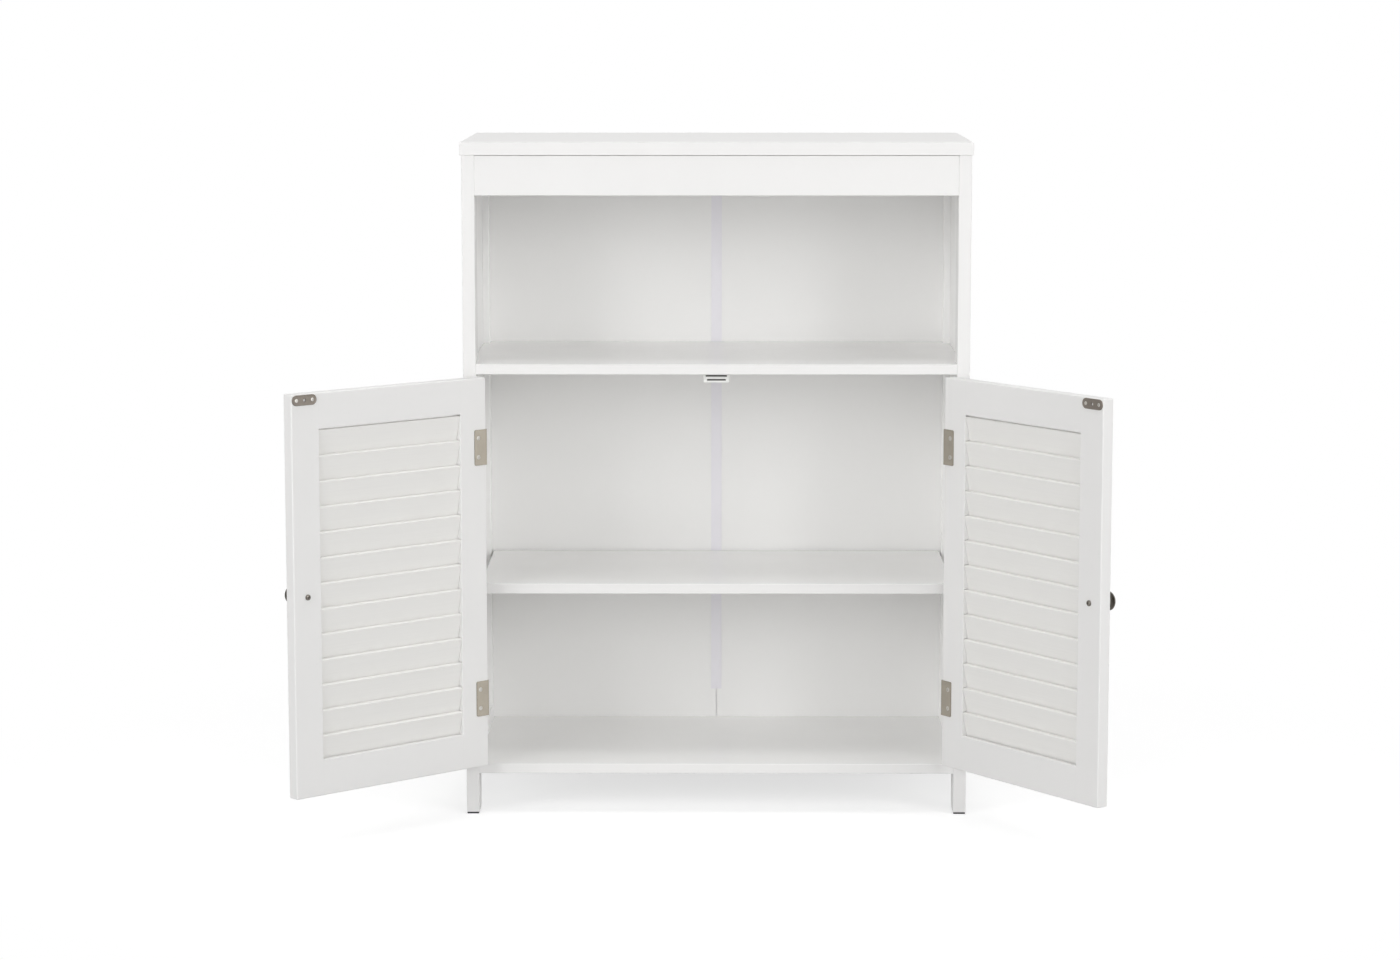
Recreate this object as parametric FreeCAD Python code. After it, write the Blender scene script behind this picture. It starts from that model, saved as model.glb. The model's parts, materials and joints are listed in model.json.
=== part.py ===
# Louvred door cabinet: an open compartment over a cupboard with two louvred doors.
# Millimetres, +Z up, front towards -Y.  The origin is on the floor, under the middle of
# the top panel.  The doors stand open, each by its own resting angle.
import FreeCAD, Part
import os
from math import asin, cos, pi, radians, sin

V = FreeCAD.Vector

# ---- driving dimensions -------------------------------------------------------------
WIDTH = 600.0                   # top panel, side to side
DEPTH = 300.0                   # top panel, front to back
HEIGHT = 800.0                  # floor to the upper face of the top panel
TOP_THICKNESS = 15.0
TOP_OVERHANG = 2.0              # past the posts, at the front and both sides

POST_THICKNESS = 15.0           # along X
POST_DEPTH = 40.0               # along Y
SIDE_TOP_RAIL_HEIGHT = 45.0
SIDE_BOTTOM_RAIL_HEIGHT = 30.0
SIDE_PANEL_THICKNESS = 4.0
SIDE_PANEL_SETBACK = 3.0        # from the outer faces of the posts
GROOVE_DEPTH = 6.0
GROOVE_CLEARANCE = 0.1          # each side of a panel in its groove
PANEL_END_CLEARANCE = 0.4       # between a panel's edge and the floor of its groove
GLIDE_THICKNESS = 2.0
GLIDE_INSET = 0.5               # from the faces of the post

APRON_HEIGHT = 46.5
APRON_THICKNESS = 15.0
APRON_GAP = 0.5                 # under the top panel
BOARD_THICKNESS = 12.0          # middle shelf, bottom panel and adjustable shelf
BOTTOM_CLEARANCE = 49.0         # floor to the underside of the bottom panel
MIDDLE_SHELF_TOP = 540.0
BACK_PANEL_THICKNESS = 3.0
BACK_PANEL_SETBACK = 12.0       # from the back of the posts
BACK_PANEL_EASE = 0.2           # between the back panel and the edges of the boards
REAR_RAIL_HEIGHT = 45.0
STRIP_WIDTH = 13.0              # H profile that joins the two halves of the back
STRIP_WEB = 0.6
STRIP_FLANGE = 1.0
STRIP_RECESS = 1.5              # of the seam below the front flange
STRIP_EASE = 0.5                # notch around the strip
STRIP_BOTTOM = 97.0             # lower end of its front flange; the seam shows below it
SEAM_EASE = 0.1                 # between the edge of a back panel and the strip's web
NAIL_RADIUS = 0.8
NAIL_HEAD_RADIUS = 2.2
NAIL_HEAD_THICKNESS = 0.8
NAIL_LENGTH = 18.0
NAIL_FROM_MIDDLE = 30.0         # first nail, from the middle of the cabinet
NAIL_FROM_POST = 53.0           # last nail, clear of the cams
NAILS_PER_HALF = 3

SHELF_SETBACK = 22.0            # front edge of the adjustable shelf, behind the posts
SHELF_TOP_LOWEST = 275.0
SHELF_STEP = 30.0               # between the three heights of the shelf
SHELF_HEIGHTS = 3
SHELF_END_GAP = 2.0
SHELF_BACK_GAP = 2.0
PIN_RADIUS = 2.5
PIN_REACH = 9.0                 # into the compartment
PIN_COLLAR_RADIUS = 4.0
PIN_COLLAR_THICKNESS = 1.4
PIN_FLAT = 0.5                  # depth of the flat that the shelf lies on
PIN_HOLE_DEPTH = 9.0
PIN_END_GAP = 0.4               # between a pin and the floor of its hole
PIN_FROM_EDGE = 8.0             # pin centre to the inner edge of its post

DOOR_THICKNESS = 15.0
DOOR_GAP_TOP = 1.5
DOOR_GAP_BOTTOM = 2.0
DOOR_GAP_HINGE = 3.0            # takes both hinge leaves
DOOR_GAP_CENTRE = 3.0           # between the two closed doors
STILE_WIDTH = 38.0
DOOR_TOP_RAIL = 41.0
DOOR_BOTTOM_RAIL = 42.0
LEFT_DOOR_OPENING = 137.6       # degrees from closed, as the cabinet stands
RIGHT_DOOR_OPENING = 125.4      # degrees from closed

SLAT_COUNT = 13
SLAT_THICKNESS = 5.5
SLAT_CHORD = 34.0
SLAT_TILT = 13.0                # degrees from upright, upper edge inwards
SLAT_EDGE_RADIUS = 1.2
SLAT_TENON = 4.0                # into each stile
SLAT_EASE = 0.15                # around a slat in its slot
SLAT_END_GAP = 0.4              # between a slat's end and the floor of its slot
SLOT_ROOM = 0.6                 # above and below a slat in its slot
SLAT_TOP_GAP = 0.8              # between the first slat and the top rail
REBATE_ROOM = 2.5               # behind the last slat in the bottom rail's rebate

HINGE_FROM_END = 82.0           # door end to the middle of the hinge
HINGE_HEIGHT = 42.0
HINGE_LEAF_THICKNESS = 1.2
HINGE_FRAME_LEAF_WIDTH = 20.0
HINGE_DOOR_LEAF_WIDTH = 17.5
HINGE_CORNER_RADIUS = 2.0
HINGE_FOLD_RADIUS = 1.0         # outside of the bend around the door's edge
HINGE_SCREW_SPACING = 22.5
HINGE_SCREW_FROM_EDGE = 12.0
KNUCKLE_RADIUS = 3.0
KNUCKLE_GAP = 0.3               # between neighbouring knuckles
HINGE_PIN_RADIUS = 1.25
HINGE_PIN_FIT = 0.05
HINGE_PIN_FORWARD = 3.0         # pin axis, in front of the door's outer face
HINGE_RELIEF = 0.6              # leaf kept back from the other leaf's knuckles
HINGE_PIN_CAP_RADIUS = 1.9
HINGE_PIN_CAP_THICKNESS = 0.6

KNOB_HEIGHT = 20.0
KNOB_RADIUS = 11.0
KNOB_FOOT_RADIUS = 7.0
KNOB_FOOT_THICKNESS = 2.0
KNOB_NECK_RADIUS = 4.8
KNOB_NECK_HEIGHT = 4.5          # where the foot has narrowed to the neck
KNOB_DOME_RISE = 5.6
KNOB_RIM = 1.0
KNOB_SCREW_RADIUS = 2.0
KNOB_SCREW_BITE = 10.0

STRIKE_LENGTH = 33.5
STRIKE_HEIGHT = 12.0
STRIKE_THICKNESS = 1.2
STRIKE_FROM_TOP = 1.0           # below the door's top edge
STRIKE_FROM_EDGE = 1.0          # from the door's free edge
STRIKE_SCREW_SPACING = 22.0
STRIKE_HOLE_RADIUS = 1.6        # middle hole, left empty

CATCH_WIDTH = 30.6
CATCH_HEIGHT = 11.0
CATCH_DEPTH = 20.0
CATCH_GAP = 0.5                 # pole plates to the closed doors' strike plates
CATCH_FLOOR = 2.2               # under the lower pole plate
CATCH_WALL = 1.5                # in front of the magnet; the pole plates pass through it
CATCH_RIM = 0.6                 # pole plates stand this far out of the housing
CATCH_CAVITY_DEPTH = 11.0
MAGNET_WIDTH = 22.0             # and of the lower pole plate
UPPER_POLE_WIDTH = 25.0
POLE_THICKNESS = 1.6
CATCH_SCREW_SPACING = 18.0
CATCH_SCREW_FROM_BACK = 4.5
CATCH_SCREW_BITE = 7.0          # into the middle shelf

BOARD_EDGE_RADIUS = 0.8
DOOR_EDGE_RADIUS = 1.5
DOOR_FIELD_RADIUS = 1.0

DOWEL_RADIUS = 3.0
DOWEL_LENGTH = 25.0
DOWEL_BITE = 9.0                # into the piece that takes the shorter end
DOWEL_FROM_EDGE = 10.0          # along a rail, from its edge or groove
BOARD_DOWEL_FROM_BACK = 5.0
DOOR_DOWEL_FROM_EDGE = 13.0
BORE_CLEARANCE = 0.05           # around dowels, screws and nails
CAM_RADIUS = 7.5
CAM_PAST_AXIS = 4.0             # depth of the cam past the axis of its bolt
CAM_SETBACK = 24.0              # joint face to the middle of the cam
CAM_CLEARANCE = 0.1
CAM_FROM_FRONT = 28.0           # of its board
CAM_FROM_BACK = 15.0
TOP_CAM_FROM_POST = 55.0
CAM_THROAT_CLEARANCE = 0.3      # around the bolt's head inside the cam
CAM_SLOT_WIDTH = 1.4
CAM_SLOT_LENGTH = 8.0
CAM_SLOT_DEPTH = 1.5
BOLT_SHANK_RADIUS = 2.0
BOLT_HEAD_RADIUS = 2.5
BOLT_HEAD_LENGTH = 2.5
BOLT_THREAD_RADIUS = 3.0
BOLT_BITE = 10.0

SCREW_RADIUS = 1.5
SCREW_HEAD_RADIUS = 2.7
SCREW_HEAD_DEPTH = 1.2
SCREW_LENGTH = 12.0
SCREW_SLOT_WIDTH = 0.7
SCREW_SLOT_DEPTH = 0.6
SCREW_SLOT_SHARE = 0.55         # length of a cross recess, over the width of its head
SMALL_SCREW_RADIUS = 1.2
SMALL_SCREW_HEAD_RADIUS = 2.1
KNOB_SCREW_HEAD_RADIUS = 3.4
KNOB_SCREW_HEAD_DEPTH = 2.2
KNOB_SCREW_EDGE_RADIUS = 1.2

PAST = 1.0                      # cutters run this far past a face

# ---- derived places -----------------------------------------------------------------
OUTER = WIDTH / 2 - TOP_OVERHANG            # outer faces of the posts
INNER = OUTER - POST_THICKNESS              # inner faces of the posts
FRONT = -DEPTH / 2 + TOP_OVERHANG           # front faces of posts, apron, shelf, doors
BACK = DEPTH / 2
TOP_UNDERSIDE = HEIGHT - TOP_THICKNESS
FRONT_POST_BACK = FRONT + POST_DEPTH
BACK_POST_FRONT = BACK - POST_DEPTH
POST_MIDDLE = OUTER - POST_THICKNESS / 2

SIDE_PANEL_OUTER = OUTER - SIDE_PANEL_SETBACK
SIDE_PANEL_INNER = SIDE_PANEL_OUTER - SIDE_PANEL_THICKNESS
SIDE_TOP_RAIL_BOTTOM = TOP_UNDERSIDE - SIDE_TOP_RAIL_HEIGHT
SIDE_BOTTOM_RAIL_TOP = BOTTOM_CLEARANCE + SIDE_BOTTOM_RAIL_HEIGHT

BACK_PANEL_BACK = BACK - BACK_PANEL_SETBACK
BACK_PANEL_FRONT = BACK_PANEL_BACK - BACK_PANEL_THICKNESS
BOARD_BACK = BACK_PANEL_FRONT - BACK_PANEL_EASE
MIDDLE_SHELF_BOTTOM = MIDDLE_SHELF_TOP - BOARD_THICKNESS
BOTTOM_TOP = BOTTOM_CLEARANCE + BOARD_THICKNESS
APRON_TOP = TOP_UNDERSIDE - APRON_GAP
APRON_BOTTOM = APRON_TOP - APRON_HEIGHT
REAR_RAIL_BOTTOM = TOP_UNDERSIDE - REAR_RAIL_HEIGHT
SHELF_BOTTOM = SHELF_TOP_LOWEST - BOARD_THICKNESS
PIN_HEIGHT = SHELF_BOTTOM - PIN_RADIUS + PIN_FLAT

DOOR_BOTTOM = BOTTOM_TOP + DOOR_GAP_BOTTOM
DOOR_TOP = MIDDLE_SHELF_BOTTOM - DOOR_GAP_TOP
DOOR_HINGE_EDGE = INNER - DOOR_GAP_HINGE
DOOR_FREE_EDGE = DOOR_GAP_CENTRE / 2
DOOR_INSIDE = FRONT + DOOR_THICKNESS        # inner face of a closed door
FIELD_TOP = DOOR_TOP - DOOR_TOP_RAIL
FIELD_BOTTOM = DOOR_BOTTOM + DOOR_BOTTOM_RAIL
FIELD_HINGE_SIDE = DOOR_HINGE_EDGE - STILE_WIDTH
FIELD_FREE_SIDE = DOOR_FREE_EDGE + STILE_WIDTH
SLAT_PITCH = (FIELD_TOP - FIELD_BOTTOM) / SLAT_COUNT
SLAT_LENGTH = FIELD_HINGE_SIDE - FIELD_FREE_SIDE + 2 * SLAT_TENON
SLAT_RISE = SLAT_CHORD * cos(radians(SLAT_TILT)) + SLAT_THICKNESS * sin(radians(SLAT_TILT))
PIN_AXIS_X = INNER - DOOR_GAP_HINGE / 2
PIN_AXIS_Y = FRONT - HINGE_PIN_FORWARD
HINGE_CENTRES = (DOOR_BOTTOM + HINGE_FROM_END, DOOR_TOP - HINGE_FROM_END)
KNOB_X = -(DOOR_FREE_EDGE + STILE_WIDTH / 2)
KNOB_Z = (DOOR_BOTTOM + DOOR_TOP) / 2
STRIKE_X = -(DOOR_FREE_EDGE + STRIKE_FROM_EDGE + STRIKE_LENGTH / 2)
STRIKE_Z = DOOR_TOP - STRIKE_FROM_TOP - STRIKE_HEIGHT / 2
CATCH_FRONT = DOOR_INSIDE + STRIKE_THICKNESS + CATCH_GAP + CATCH_RIM
CATCH_BOTTOM = MIDDLE_SHELF_BOTTOM - CATCH_HEIGHT

X, Y, Z = V(1, 0, 0), V(0, 1, 0), V(0, 0, 1)


# ---- shapes and tools ---------------------------------------------------------------
def block(x, y, z):
    """A box from its low and high values along each axis."""
    return Part.makeBox(x[1] - x[0], y[1] - y[0], z[1] - z[0], V(x[0], y[0], z[0]))


def across(width, y, z):
    """A box across the cabinet's middle plane."""
    return block((-width / 2, width / 2), y, z)


def rod(radius, start, along, length):
    return Part.makeCylinder(radius, length, start, along)


def mirrored(shape):
    """The same piece for the other side of the cabinet."""
    return shape.mirror(V(0, 0, 0), X)


def with_mirror(shapes):
    return shapes + [mirrored(shape) for shape in shapes]


def eased(shape, radius, axes="xyz"):
    """The shape with its straight edges along the named axes rounded."""
    def runs(edge):
        line = edge.Vertexes[-1].Point - edge.Vertexes[0].Point
        return any(abs(line.dot(way)) > 0.999 * line.Length
                   for name, way in zip("xyz", (X, Y, Z)) if name in axes)
    return shape.makeFillet(radius, [edge for edge in shape.Edges if runs(edge)])


def bored(piece, bores):
    """The piece with every bore that reaches it cut out."""
    near = [bore for bore in bores if piece.BoundBox.intersect(bore.BoundBox)]
    return piece.cut(near) if near else piece


def groove(middle, along, down, length, width, depth):
    """Cutter for a straight groove, centred on middle, that sinks along down."""
    side = down.cross(along) * (width / 2)
    reach = along * (length / 2)
    corners = [middle - reach - side, middle + reach - side, middle + reach + side,
               middle - reach + side, middle - reach - side]
    return Part.Face(Part.makePolygon(corners)).extrude(down * depth)


def edge_rounder(corner, inward, radius, height):
    """Cutter that rounds the upright edge at corner; inward points into the metal."""
    centre = corner + inward * radius
    square = block(sorted((corner.x, centre.x)), sorted((corner.y, centre.y)),
                   (corner.z, corner.z + height))
    return square.cut(rod(radius, V(centre.x, centre.y, corner.z), Z, height))


def cross_recess(middle, down, length, width, depth):
    """Cutter for the cross that a driver turns."""
    way = Y if down.x else X
    return groove(middle, way, down, length, width, depth).fuse(
        groove(middle, down.cross(way), down, length, width, depth))


def screw_recess(head_centre, along, head_radius):
    return cross_recess(head_centre, along, 2 * head_radius * SCREW_SLOT_SHARE,
                        SCREW_SLOT_WIDTH, SCREW_SLOT_DEPTH)


def flat_screw(head_centre, along, length, radius, head_radius):
    """A countersunk screw whose flat head lies at head_centre."""
    cone = Part.makeCone(head_radius, radius, SCREW_HEAD_DEPTH, head_centre, along)
    shank = rod(radius, head_centre, along, length)
    return cone.fuse(shank).cut(screw_recess(head_centre, along, head_radius))


def flat_screw_bore(head_centre, along, length, radius, head_radius):
    """Countersink and pilot hole of a flat_screw."""
    ease = BORE_CLEARANCE
    cone = Part.makeCone(head_radius + ease, radius + ease, SCREW_HEAD_DEPTH, head_centre, along)
    return cone.fuse(rod(radius + ease, head_centre, along, length + ease))


# ---- joinery of the carcass ---------------------------------------------------------
def dowel_pair(low, high):
    """Levels of two dowels in a rail between its low and high edge."""
    return (low + DOWEL_FROM_EDGE, high - DOWEL_FROM_EDGE)


def dowel_ends():
    """Left-hand dowels: the middle of the joint face, and the way of the shorter end."""
    apron_y = FRONT + APRON_THICKNESS / 2
    rear_y = (BACK_PANEL_BACK + BACK) / 2
    ends = [(V(-INNER, apron_y, z), -X) for z in dowel_pair(APRON_BOTTOM, APRON_TOP)]
    ends += [(V(-INNER, rear_y, z), -X) for z in dowel_pair(REAR_RAIL_BOTTOM, TOP_UNDERSIDE)]
    for board_z in (MIDDLE_SHELF_BOTTOM, BOTTOM_CLEARANCE):
        for y in (FRONT + DOWEL_FROM_EDGE, BOARD_BACK - BOARD_DOWEL_FROM_BACK):
            ends.append((V(-INNER, y, board_z + BOARD_THICKNESS / 2), -X))
    rail_levels = (*dowel_pair(SIDE_TOP_RAIL_BOTTOM + GROOVE_DEPTH, TOP_UNDERSIDE),
                   (BOTTOM_CLEARANCE + SIDE_BOTTOM_RAIL_TOP - GROOVE_DEPTH) / 2)
    for level in rail_levels:
        ends.append((V(-POST_MIDDLE, FRONT_POST_BACK, level), Y))
        ends.append((V(-POST_MIDDLE, BACK_POST_FRONT, level), -Y))
    for y in (FRONT + POST_DEPTH / 2, BACK - POST_DEPTH / 2):
        ends.append((V(-POST_MIDDLE, y, TOP_UNDERSIDE), Z))
    return ends


def carcass_dowels():
    """All dowels of the carcass, and the bores that they sit in."""
    pegs, bores = [], []
    for face, short_way in dowel_ends():
        long_end = face - short_way * (DOWEL_LENGTH - DOWEL_BITE)
        pegs.append(rod(DOWEL_RADIUS, long_end, short_way, DOWEL_LENGTH))
        start = long_end - short_way * BORE_CLEARANCE
        bores.append(rod(DOWEL_RADIUS + BORE_CLEARANCE, start, short_way,
                         DOWEL_LENGTH + 2 * BORE_CLEARANCE))
    return with_mirror(pegs), with_mirror(bores)


def cam_places():
    """Left-hand cams: joint face, way of the bolt, way to the open face, half board."""
    places = []
    for board_z in (MIDDLE_SHELF_BOTTOM, BOTTOM_CLEARANCE):
        middle = board_z + BOARD_THICKNESS / 2
        for y in (FRONT + CAM_FROM_FRONT, BOARD_BACK - CAM_FROM_BACK):
            places.append((V(-INNER, y, middle), -X, -Z, BOARD_THICKNESS / 2))
    for y in (FRONT_POST_BACK + TOP_CAM_FROM_POST, BACK_POST_FRONT - TOP_CAM_FROM_POST):
        places.append((V(-POST_MIDDLE, y, TOP_UNDERSIDE), Z, X, POST_THICKNESS / 2))
    return places


def cam_fitting(face, bolt_way, open_way, half):
    """One cam, its bolt and the bores for both."""
    middle = face - bolt_way * CAM_SETBACK
    mouth = middle + open_way * half
    depth = half + CAM_PAST_AXIS
    throat_start = middle - bolt_way * (BOLT_HEAD_LENGTH + CAM_THROAT_CLEARANCE)
    throat = rod(BOLT_HEAD_RADIUS + CAM_THROAT_CLEARANCE, throat_start, bolt_way, 2 * CAM_RADIUS)
    recess = cross_recess(mouth, -open_way, CAM_SLOT_LENGTH, CAM_SLOT_WIDTH, CAM_SLOT_DEPTH)
    cam = rod(CAM_RADIUS, mouth, -open_way, depth).cut([throat, recess])
    head = rod(BOLT_HEAD_RADIUS, middle - bolt_way * BOLT_HEAD_LENGTH, bolt_way, BOLT_HEAD_LENGTH)
    shank = rod(BOLT_SHANK_RADIUS, middle, bolt_way, CAM_SETBACK)
    thread = rod(BOLT_THREAD_RADIUS, face, bolt_way, BOLT_BITE)
    bolt = head.fuse([shank, thread])
    bores = [rod(CAM_RADIUS + CAM_CLEARANCE, mouth, -open_way, depth + CAM_CLEARANCE),
             rod(BOLT_HEAD_RADIUS + CAM_CLEARANCE, middle, bolt_way, CAM_SETBACK),
             rod(BOLT_THREAD_RADIUS + BORE_CLEARANCE, face, bolt_way, BOLT_BITE + CAM_CLEARANCE)]
    return cam, bolt, bores


def carcass_cams():
    cams, bolts, bores = [], [], []
    for place in cam_places():
        cam, bolt, holes = cam_fitting(*place)
        cams.append(cam)
        bolts.append(bolt)
        bores += holes
    return with_mirror(cams), with_mirror(bolts), with_mirror(bores)


def back_nails():
    """Nails through the back panel into the middle shelf and the bottom panel."""
    nails, bores = [], []
    spacing = (INNER - NAIL_FROM_POST - NAIL_FROM_MIDDLE) / (NAILS_PER_HALF - 1)
    for board_z in (MIDDLE_SHELF_BOTTOM, BOTTOM_CLEARANCE):
        for step in range(NAILS_PER_HALF):
            under_head = V(-NAIL_FROM_MIDDLE - step * spacing, BACK_PANEL_BACK,
                           board_z + BOARD_THICKNESS / 2)
            nails.append(rod(NAIL_RADIUS, under_head, -Y, NAIL_LENGTH).fuse(
                rod(NAIL_HEAD_RADIUS, under_head, Y, NAIL_HEAD_THICKNESS)))
            bores.append(rod(NAIL_RADIUS + BORE_CLEARANCE, under_head, -Y,
                             NAIL_LENGTH + BORE_CLEARANCE))
    return with_mirror(nails), with_mirror(bores)


def shelf_pin(y):
    """Left-hand pin with a collar, flat on top where the shelf lies."""
    end = V(-INNER - PIN_HOLE_DEPTH + PIN_END_GAP, y, PIN_HEIGHT)
    peg = rod(PIN_RADIUS, end, X, PIN_HOLE_DEPTH - PIN_END_GAP + PIN_REACH)
    flat_start = -INNER + PIN_COLLAR_THICKNESS
    above = block((flat_start, -INNER + PIN_REACH + PAST), (y - PIN_RADIUS, y + PIN_RADIUS),
                  (SHELF_BOTTOM, SHELF_TOP_LOWEST))
    collar = rod(PIN_COLLAR_RADIUS, V(-INNER, y, PIN_HEIGHT), X, PIN_COLLAR_THICKNESS)
    return peg.cut(above).fuse(collar)


def shelf_pins():
    """Four pins at the lowest height, and the pin holes of every height."""
    ys = (FRONT_POST_BACK - PIN_FROM_EDGE, BACK_POST_FRONT + PIN_FROM_EDGE)
    mouths = [V(-INNER, y, PIN_HEIGHT + step * SHELF_STEP) for y in ys for step in range(SHELF_HEIGHTS)]
    bores = [rod(PIN_RADIUS + BORE_CLEARANCE, mouth, -X, PIN_HOLE_DEPTH) for mouth in mouths]
    return with_mirror([shelf_pin(y) for y in ys]), with_mirror(bores)


# ---- carcass pieces -----------------------------------------------------------------
def side_panel_groove(y, z):
    x = (-SIDE_PANEL_OUTER - GROOVE_CLEARANCE, -SIDE_PANEL_INNER + GROOVE_CLEARANCE)
    return block(x, y, z)


def post_groove_levels():
    return (SIDE_BOTTOM_RAIL_TOP - GROOVE_DEPTH, SIDE_TOP_RAIL_BOTTOM + GROOVE_DEPTH)


def front_post():
    """Left front post; its foot is the front leg."""
    post = eased(block((-OUTER, -INNER), (FRONT, FRONT_POST_BACK), (GLIDE_THICKNESS, TOP_UNDERSIDE)),
                 BOARD_EDGE_RADIUS)
    return post.cut(side_panel_groove((FRONT_POST_BACK - GROOVE_DEPTH, FRONT_POST_BACK),
                                      post_groove_levels()))


def back_post():
    """Left back post, grooved for the side panel and for the back panel."""
    post = eased(block((-OUTER, -INNER), (BACK_POST_FRONT, BACK), (GLIDE_THICKNESS, TOP_UNDERSIDE)),
                 BOARD_EDGE_RADIUS)
    side = side_panel_groove((BACK_POST_FRONT, BACK_POST_FRONT + GROOVE_DEPTH), post_groove_levels())
    back = block((-INNER - GROOVE_DEPTH, -INNER),
                 (BACK_PANEL_FRONT - GROOVE_CLEARANCE, BACK_PANEL_BACK + GROOVE_CLEARANCE),
                 (BOTTOM_CLEARANCE, TOP_UNDERSIDE))
    return post.cut([side, back])


def side_rail(z, groove_z):
    """Left rail between the posts, grooved for the side panel."""
    rail = eased(block((-OUTER, -INNER), (FRONT_POST_BACK, BACK_POST_FRONT), z),
                 BOARD_EDGE_RADIUS, "y")
    return rail.cut(side_panel_groove((FRONT_POST_BACK, BACK_POST_FRONT), groove_z))


def side_panel():
    reach = GROOVE_DEPTH - PANEL_END_CLEARANCE
    return block((-SIDE_PANEL_OUTER, -SIDE_PANEL_INNER),
                 (FRONT_POST_BACK - reach, BACK_POST_FRONT + reach),
                 (SIDE_BOTTOM_RAIL_TOP - reach, SIDE_TOP_RAIL_BOTTOM + reach))


def middle_shelf():
    """Fixed shelf between the posts, widened between them to reach the side panels,
    with a notch that lets it pass the joint strip."""
    z = (MIDDLE_SHELF_BOTTOM, MIDDLE_SHELF_TOP)
    long_part = block((-INNER, INNER), (FRONT, BOARD_BACK), z)
    wide_x = SIDE_PANEL_INNER - PANEL_END_CLEARANCE
    wide_part = block((-wide_x, wide_x), (FRONT_POST_BACK, BACK_POST_FRONT), z)
    shelf = eased(long_part.fuse(wide_part).removeSplitter(), BOARD_EDGE_RADIUS, "x")
    notch_front = BACK_PANEL_FRONT - STRIP_FLANGE - STRIP_EASE
    notch = across(STRIP_WIDTH + 2 * STRIP_EASE, (notch_front, BACK_PANEL_FRONT), z)
    return shelf.cut(notch)


def bottom_panel():
    return eased(block((-INNER, INNER), (FRONT, BOARD_BACK), (BOTTOM_CLEARANCE, BOTTOM_TOP)),
                 BOARD_EDGE_RADIUS, "x")


def front_apron():
    return eased(block((-INNER, INNER), (FRONT, FRONT + APRON_THICKNESS), (APRON_BOTTOM, APRON_TOP)),
                 BOARD_EDGE_RADIUS)


def rear_rail():
    """Rail behind the top of the back panel."""
    return eased(block((-INNER, INNER), (BACK_PANEL_BACK + STRIP_FLANGE + STRIP_EASE, BACK),
                       (REAR_RAIL_BOTTOM, TOP_UNDERSIDE)), BOARD_EDGE_RADIUS, "x")


def top_panel():
    return eased(block((-WIDTH / 2, WIDTH / 2), (-DEPTH / 2, BACK), (TOP_UNDERSIDE, HEIGHT)),
                 BOARD_EDGE_RADIUS)


def back_panel():
    """Left half of the back, from the groove of its post to the joint strip."""
    return block((-INNER - GROOVE_DEPTH + PANEL_END_CLEARANCE, -STRIP_WEB / 2 - SEAM_EASE),
                 (BACK_PANEL_FRONT, BACK_PANEL_BACK),
                 (BOTTOM_CLEARANCE + PANEL_END_CLEARANCE, TOP_UNDERSIDE - PANEL_END_CLEARANCE))


def back_joint_strip():
    """H profile that clips the two halves of the back together.  Its front is cut away
    below, so that it passes behind the bottom panel."""
    z = (BOTTOM_CLEARANCE + PANEL_END_CLEARANCE, TOP_UNDERSIDE - PANEL_END_CLEARANCE)
    web = across(STRIP_WEB, (BACK_PANEL_FRONT + STRIP_RECESS, BACK_PANEL_BACK), z)
    front_flange = across(STRIP_WIDTH, (BACK_PANEL_FRONT - STRIP_FLANGE, BACK_PANEL_FRONT),
                          (STRIP_BOTTOM, z[1]))
    front_web = across(STRIP_WEB, (BACK_PANEL_FRONT, BACK_PANEL_BACK), (STRIP_BOTTOM, z[1]))
    back_flange = across(STRIP_WIDTH, (BACK_PANEL_BACK, BACK_PANEL_BACK + STRIP_FLANGE), z)
    return web.fuse([front_web, front_flange, back_flange]).removeSplitter()


def leg_glides():
    glides = []
    for y in ((FRONT, FRONT_POST_BACK), (BACK_POST_FRONT, BACK)):
        glides.append(block((-OUTER + GLIDE_INSET, -INNER - GLIDE_INSET),
                            (y[0] + GLIDE_INSET, y[1] - GLIDE_INSET), (0, GLIDE_THICKNESS)))
    return with_mirror(glides)


def adjustable_shelf():
    half = INNER - SHELF_END_GAP
    depth = (FRONT + SHELF_SETBACK, BACK_PANEL_FRONT - STRIP_FLANGE - SHELF_BACK_GAP)
    return eased(block((-half, half), depth, (SHELF_BOTTOM, SHELF_TOP_LOWEST)), BOARD_EDGE_RADIUS)


# ---- magnetic catch -----------------------------------------------------------------
def catch_levels():
    """Undersides of the two pole plates."""
    lower = CATCH_BOTTOM + CATCH_FLOOR
    upper = STRIKE_Z + STRIKE_HEIGHT / 2 - POLE_THICKNESS
    return lower, upper


def catch_pole_plates():
    depth = (CATCH_FRONT - CATCH_RIM, CATCH_FRONT + CATCH_CAVITY_DEPTH)
    return [across(width, depth, (level, level + POLE_THICKNESS))
            for width, level in zip((MAGNET_WIDTH, UPPER_POLE_WIDTH), catch_levels())]


def catch_magnet():
    lower, upper = catch_levels()
    return across(MAGNET_WIDTH, (CATCH_FRONT + CATCH_WALL, CATCH_FRONT + CATCH_CAVITY_DEPTH),
                  (lower + POLE_THICKNESS, upper))


def catch_screw_heads():
    y = CATCH_FRONT + CATCH_DEPTH - CATCH_SCREW_FROM_BACK
    return [V(side * CATCH_SCREW_SPACING / 2, y, CATCH_BOTTOM) for side in (-1, 1)]


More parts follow.
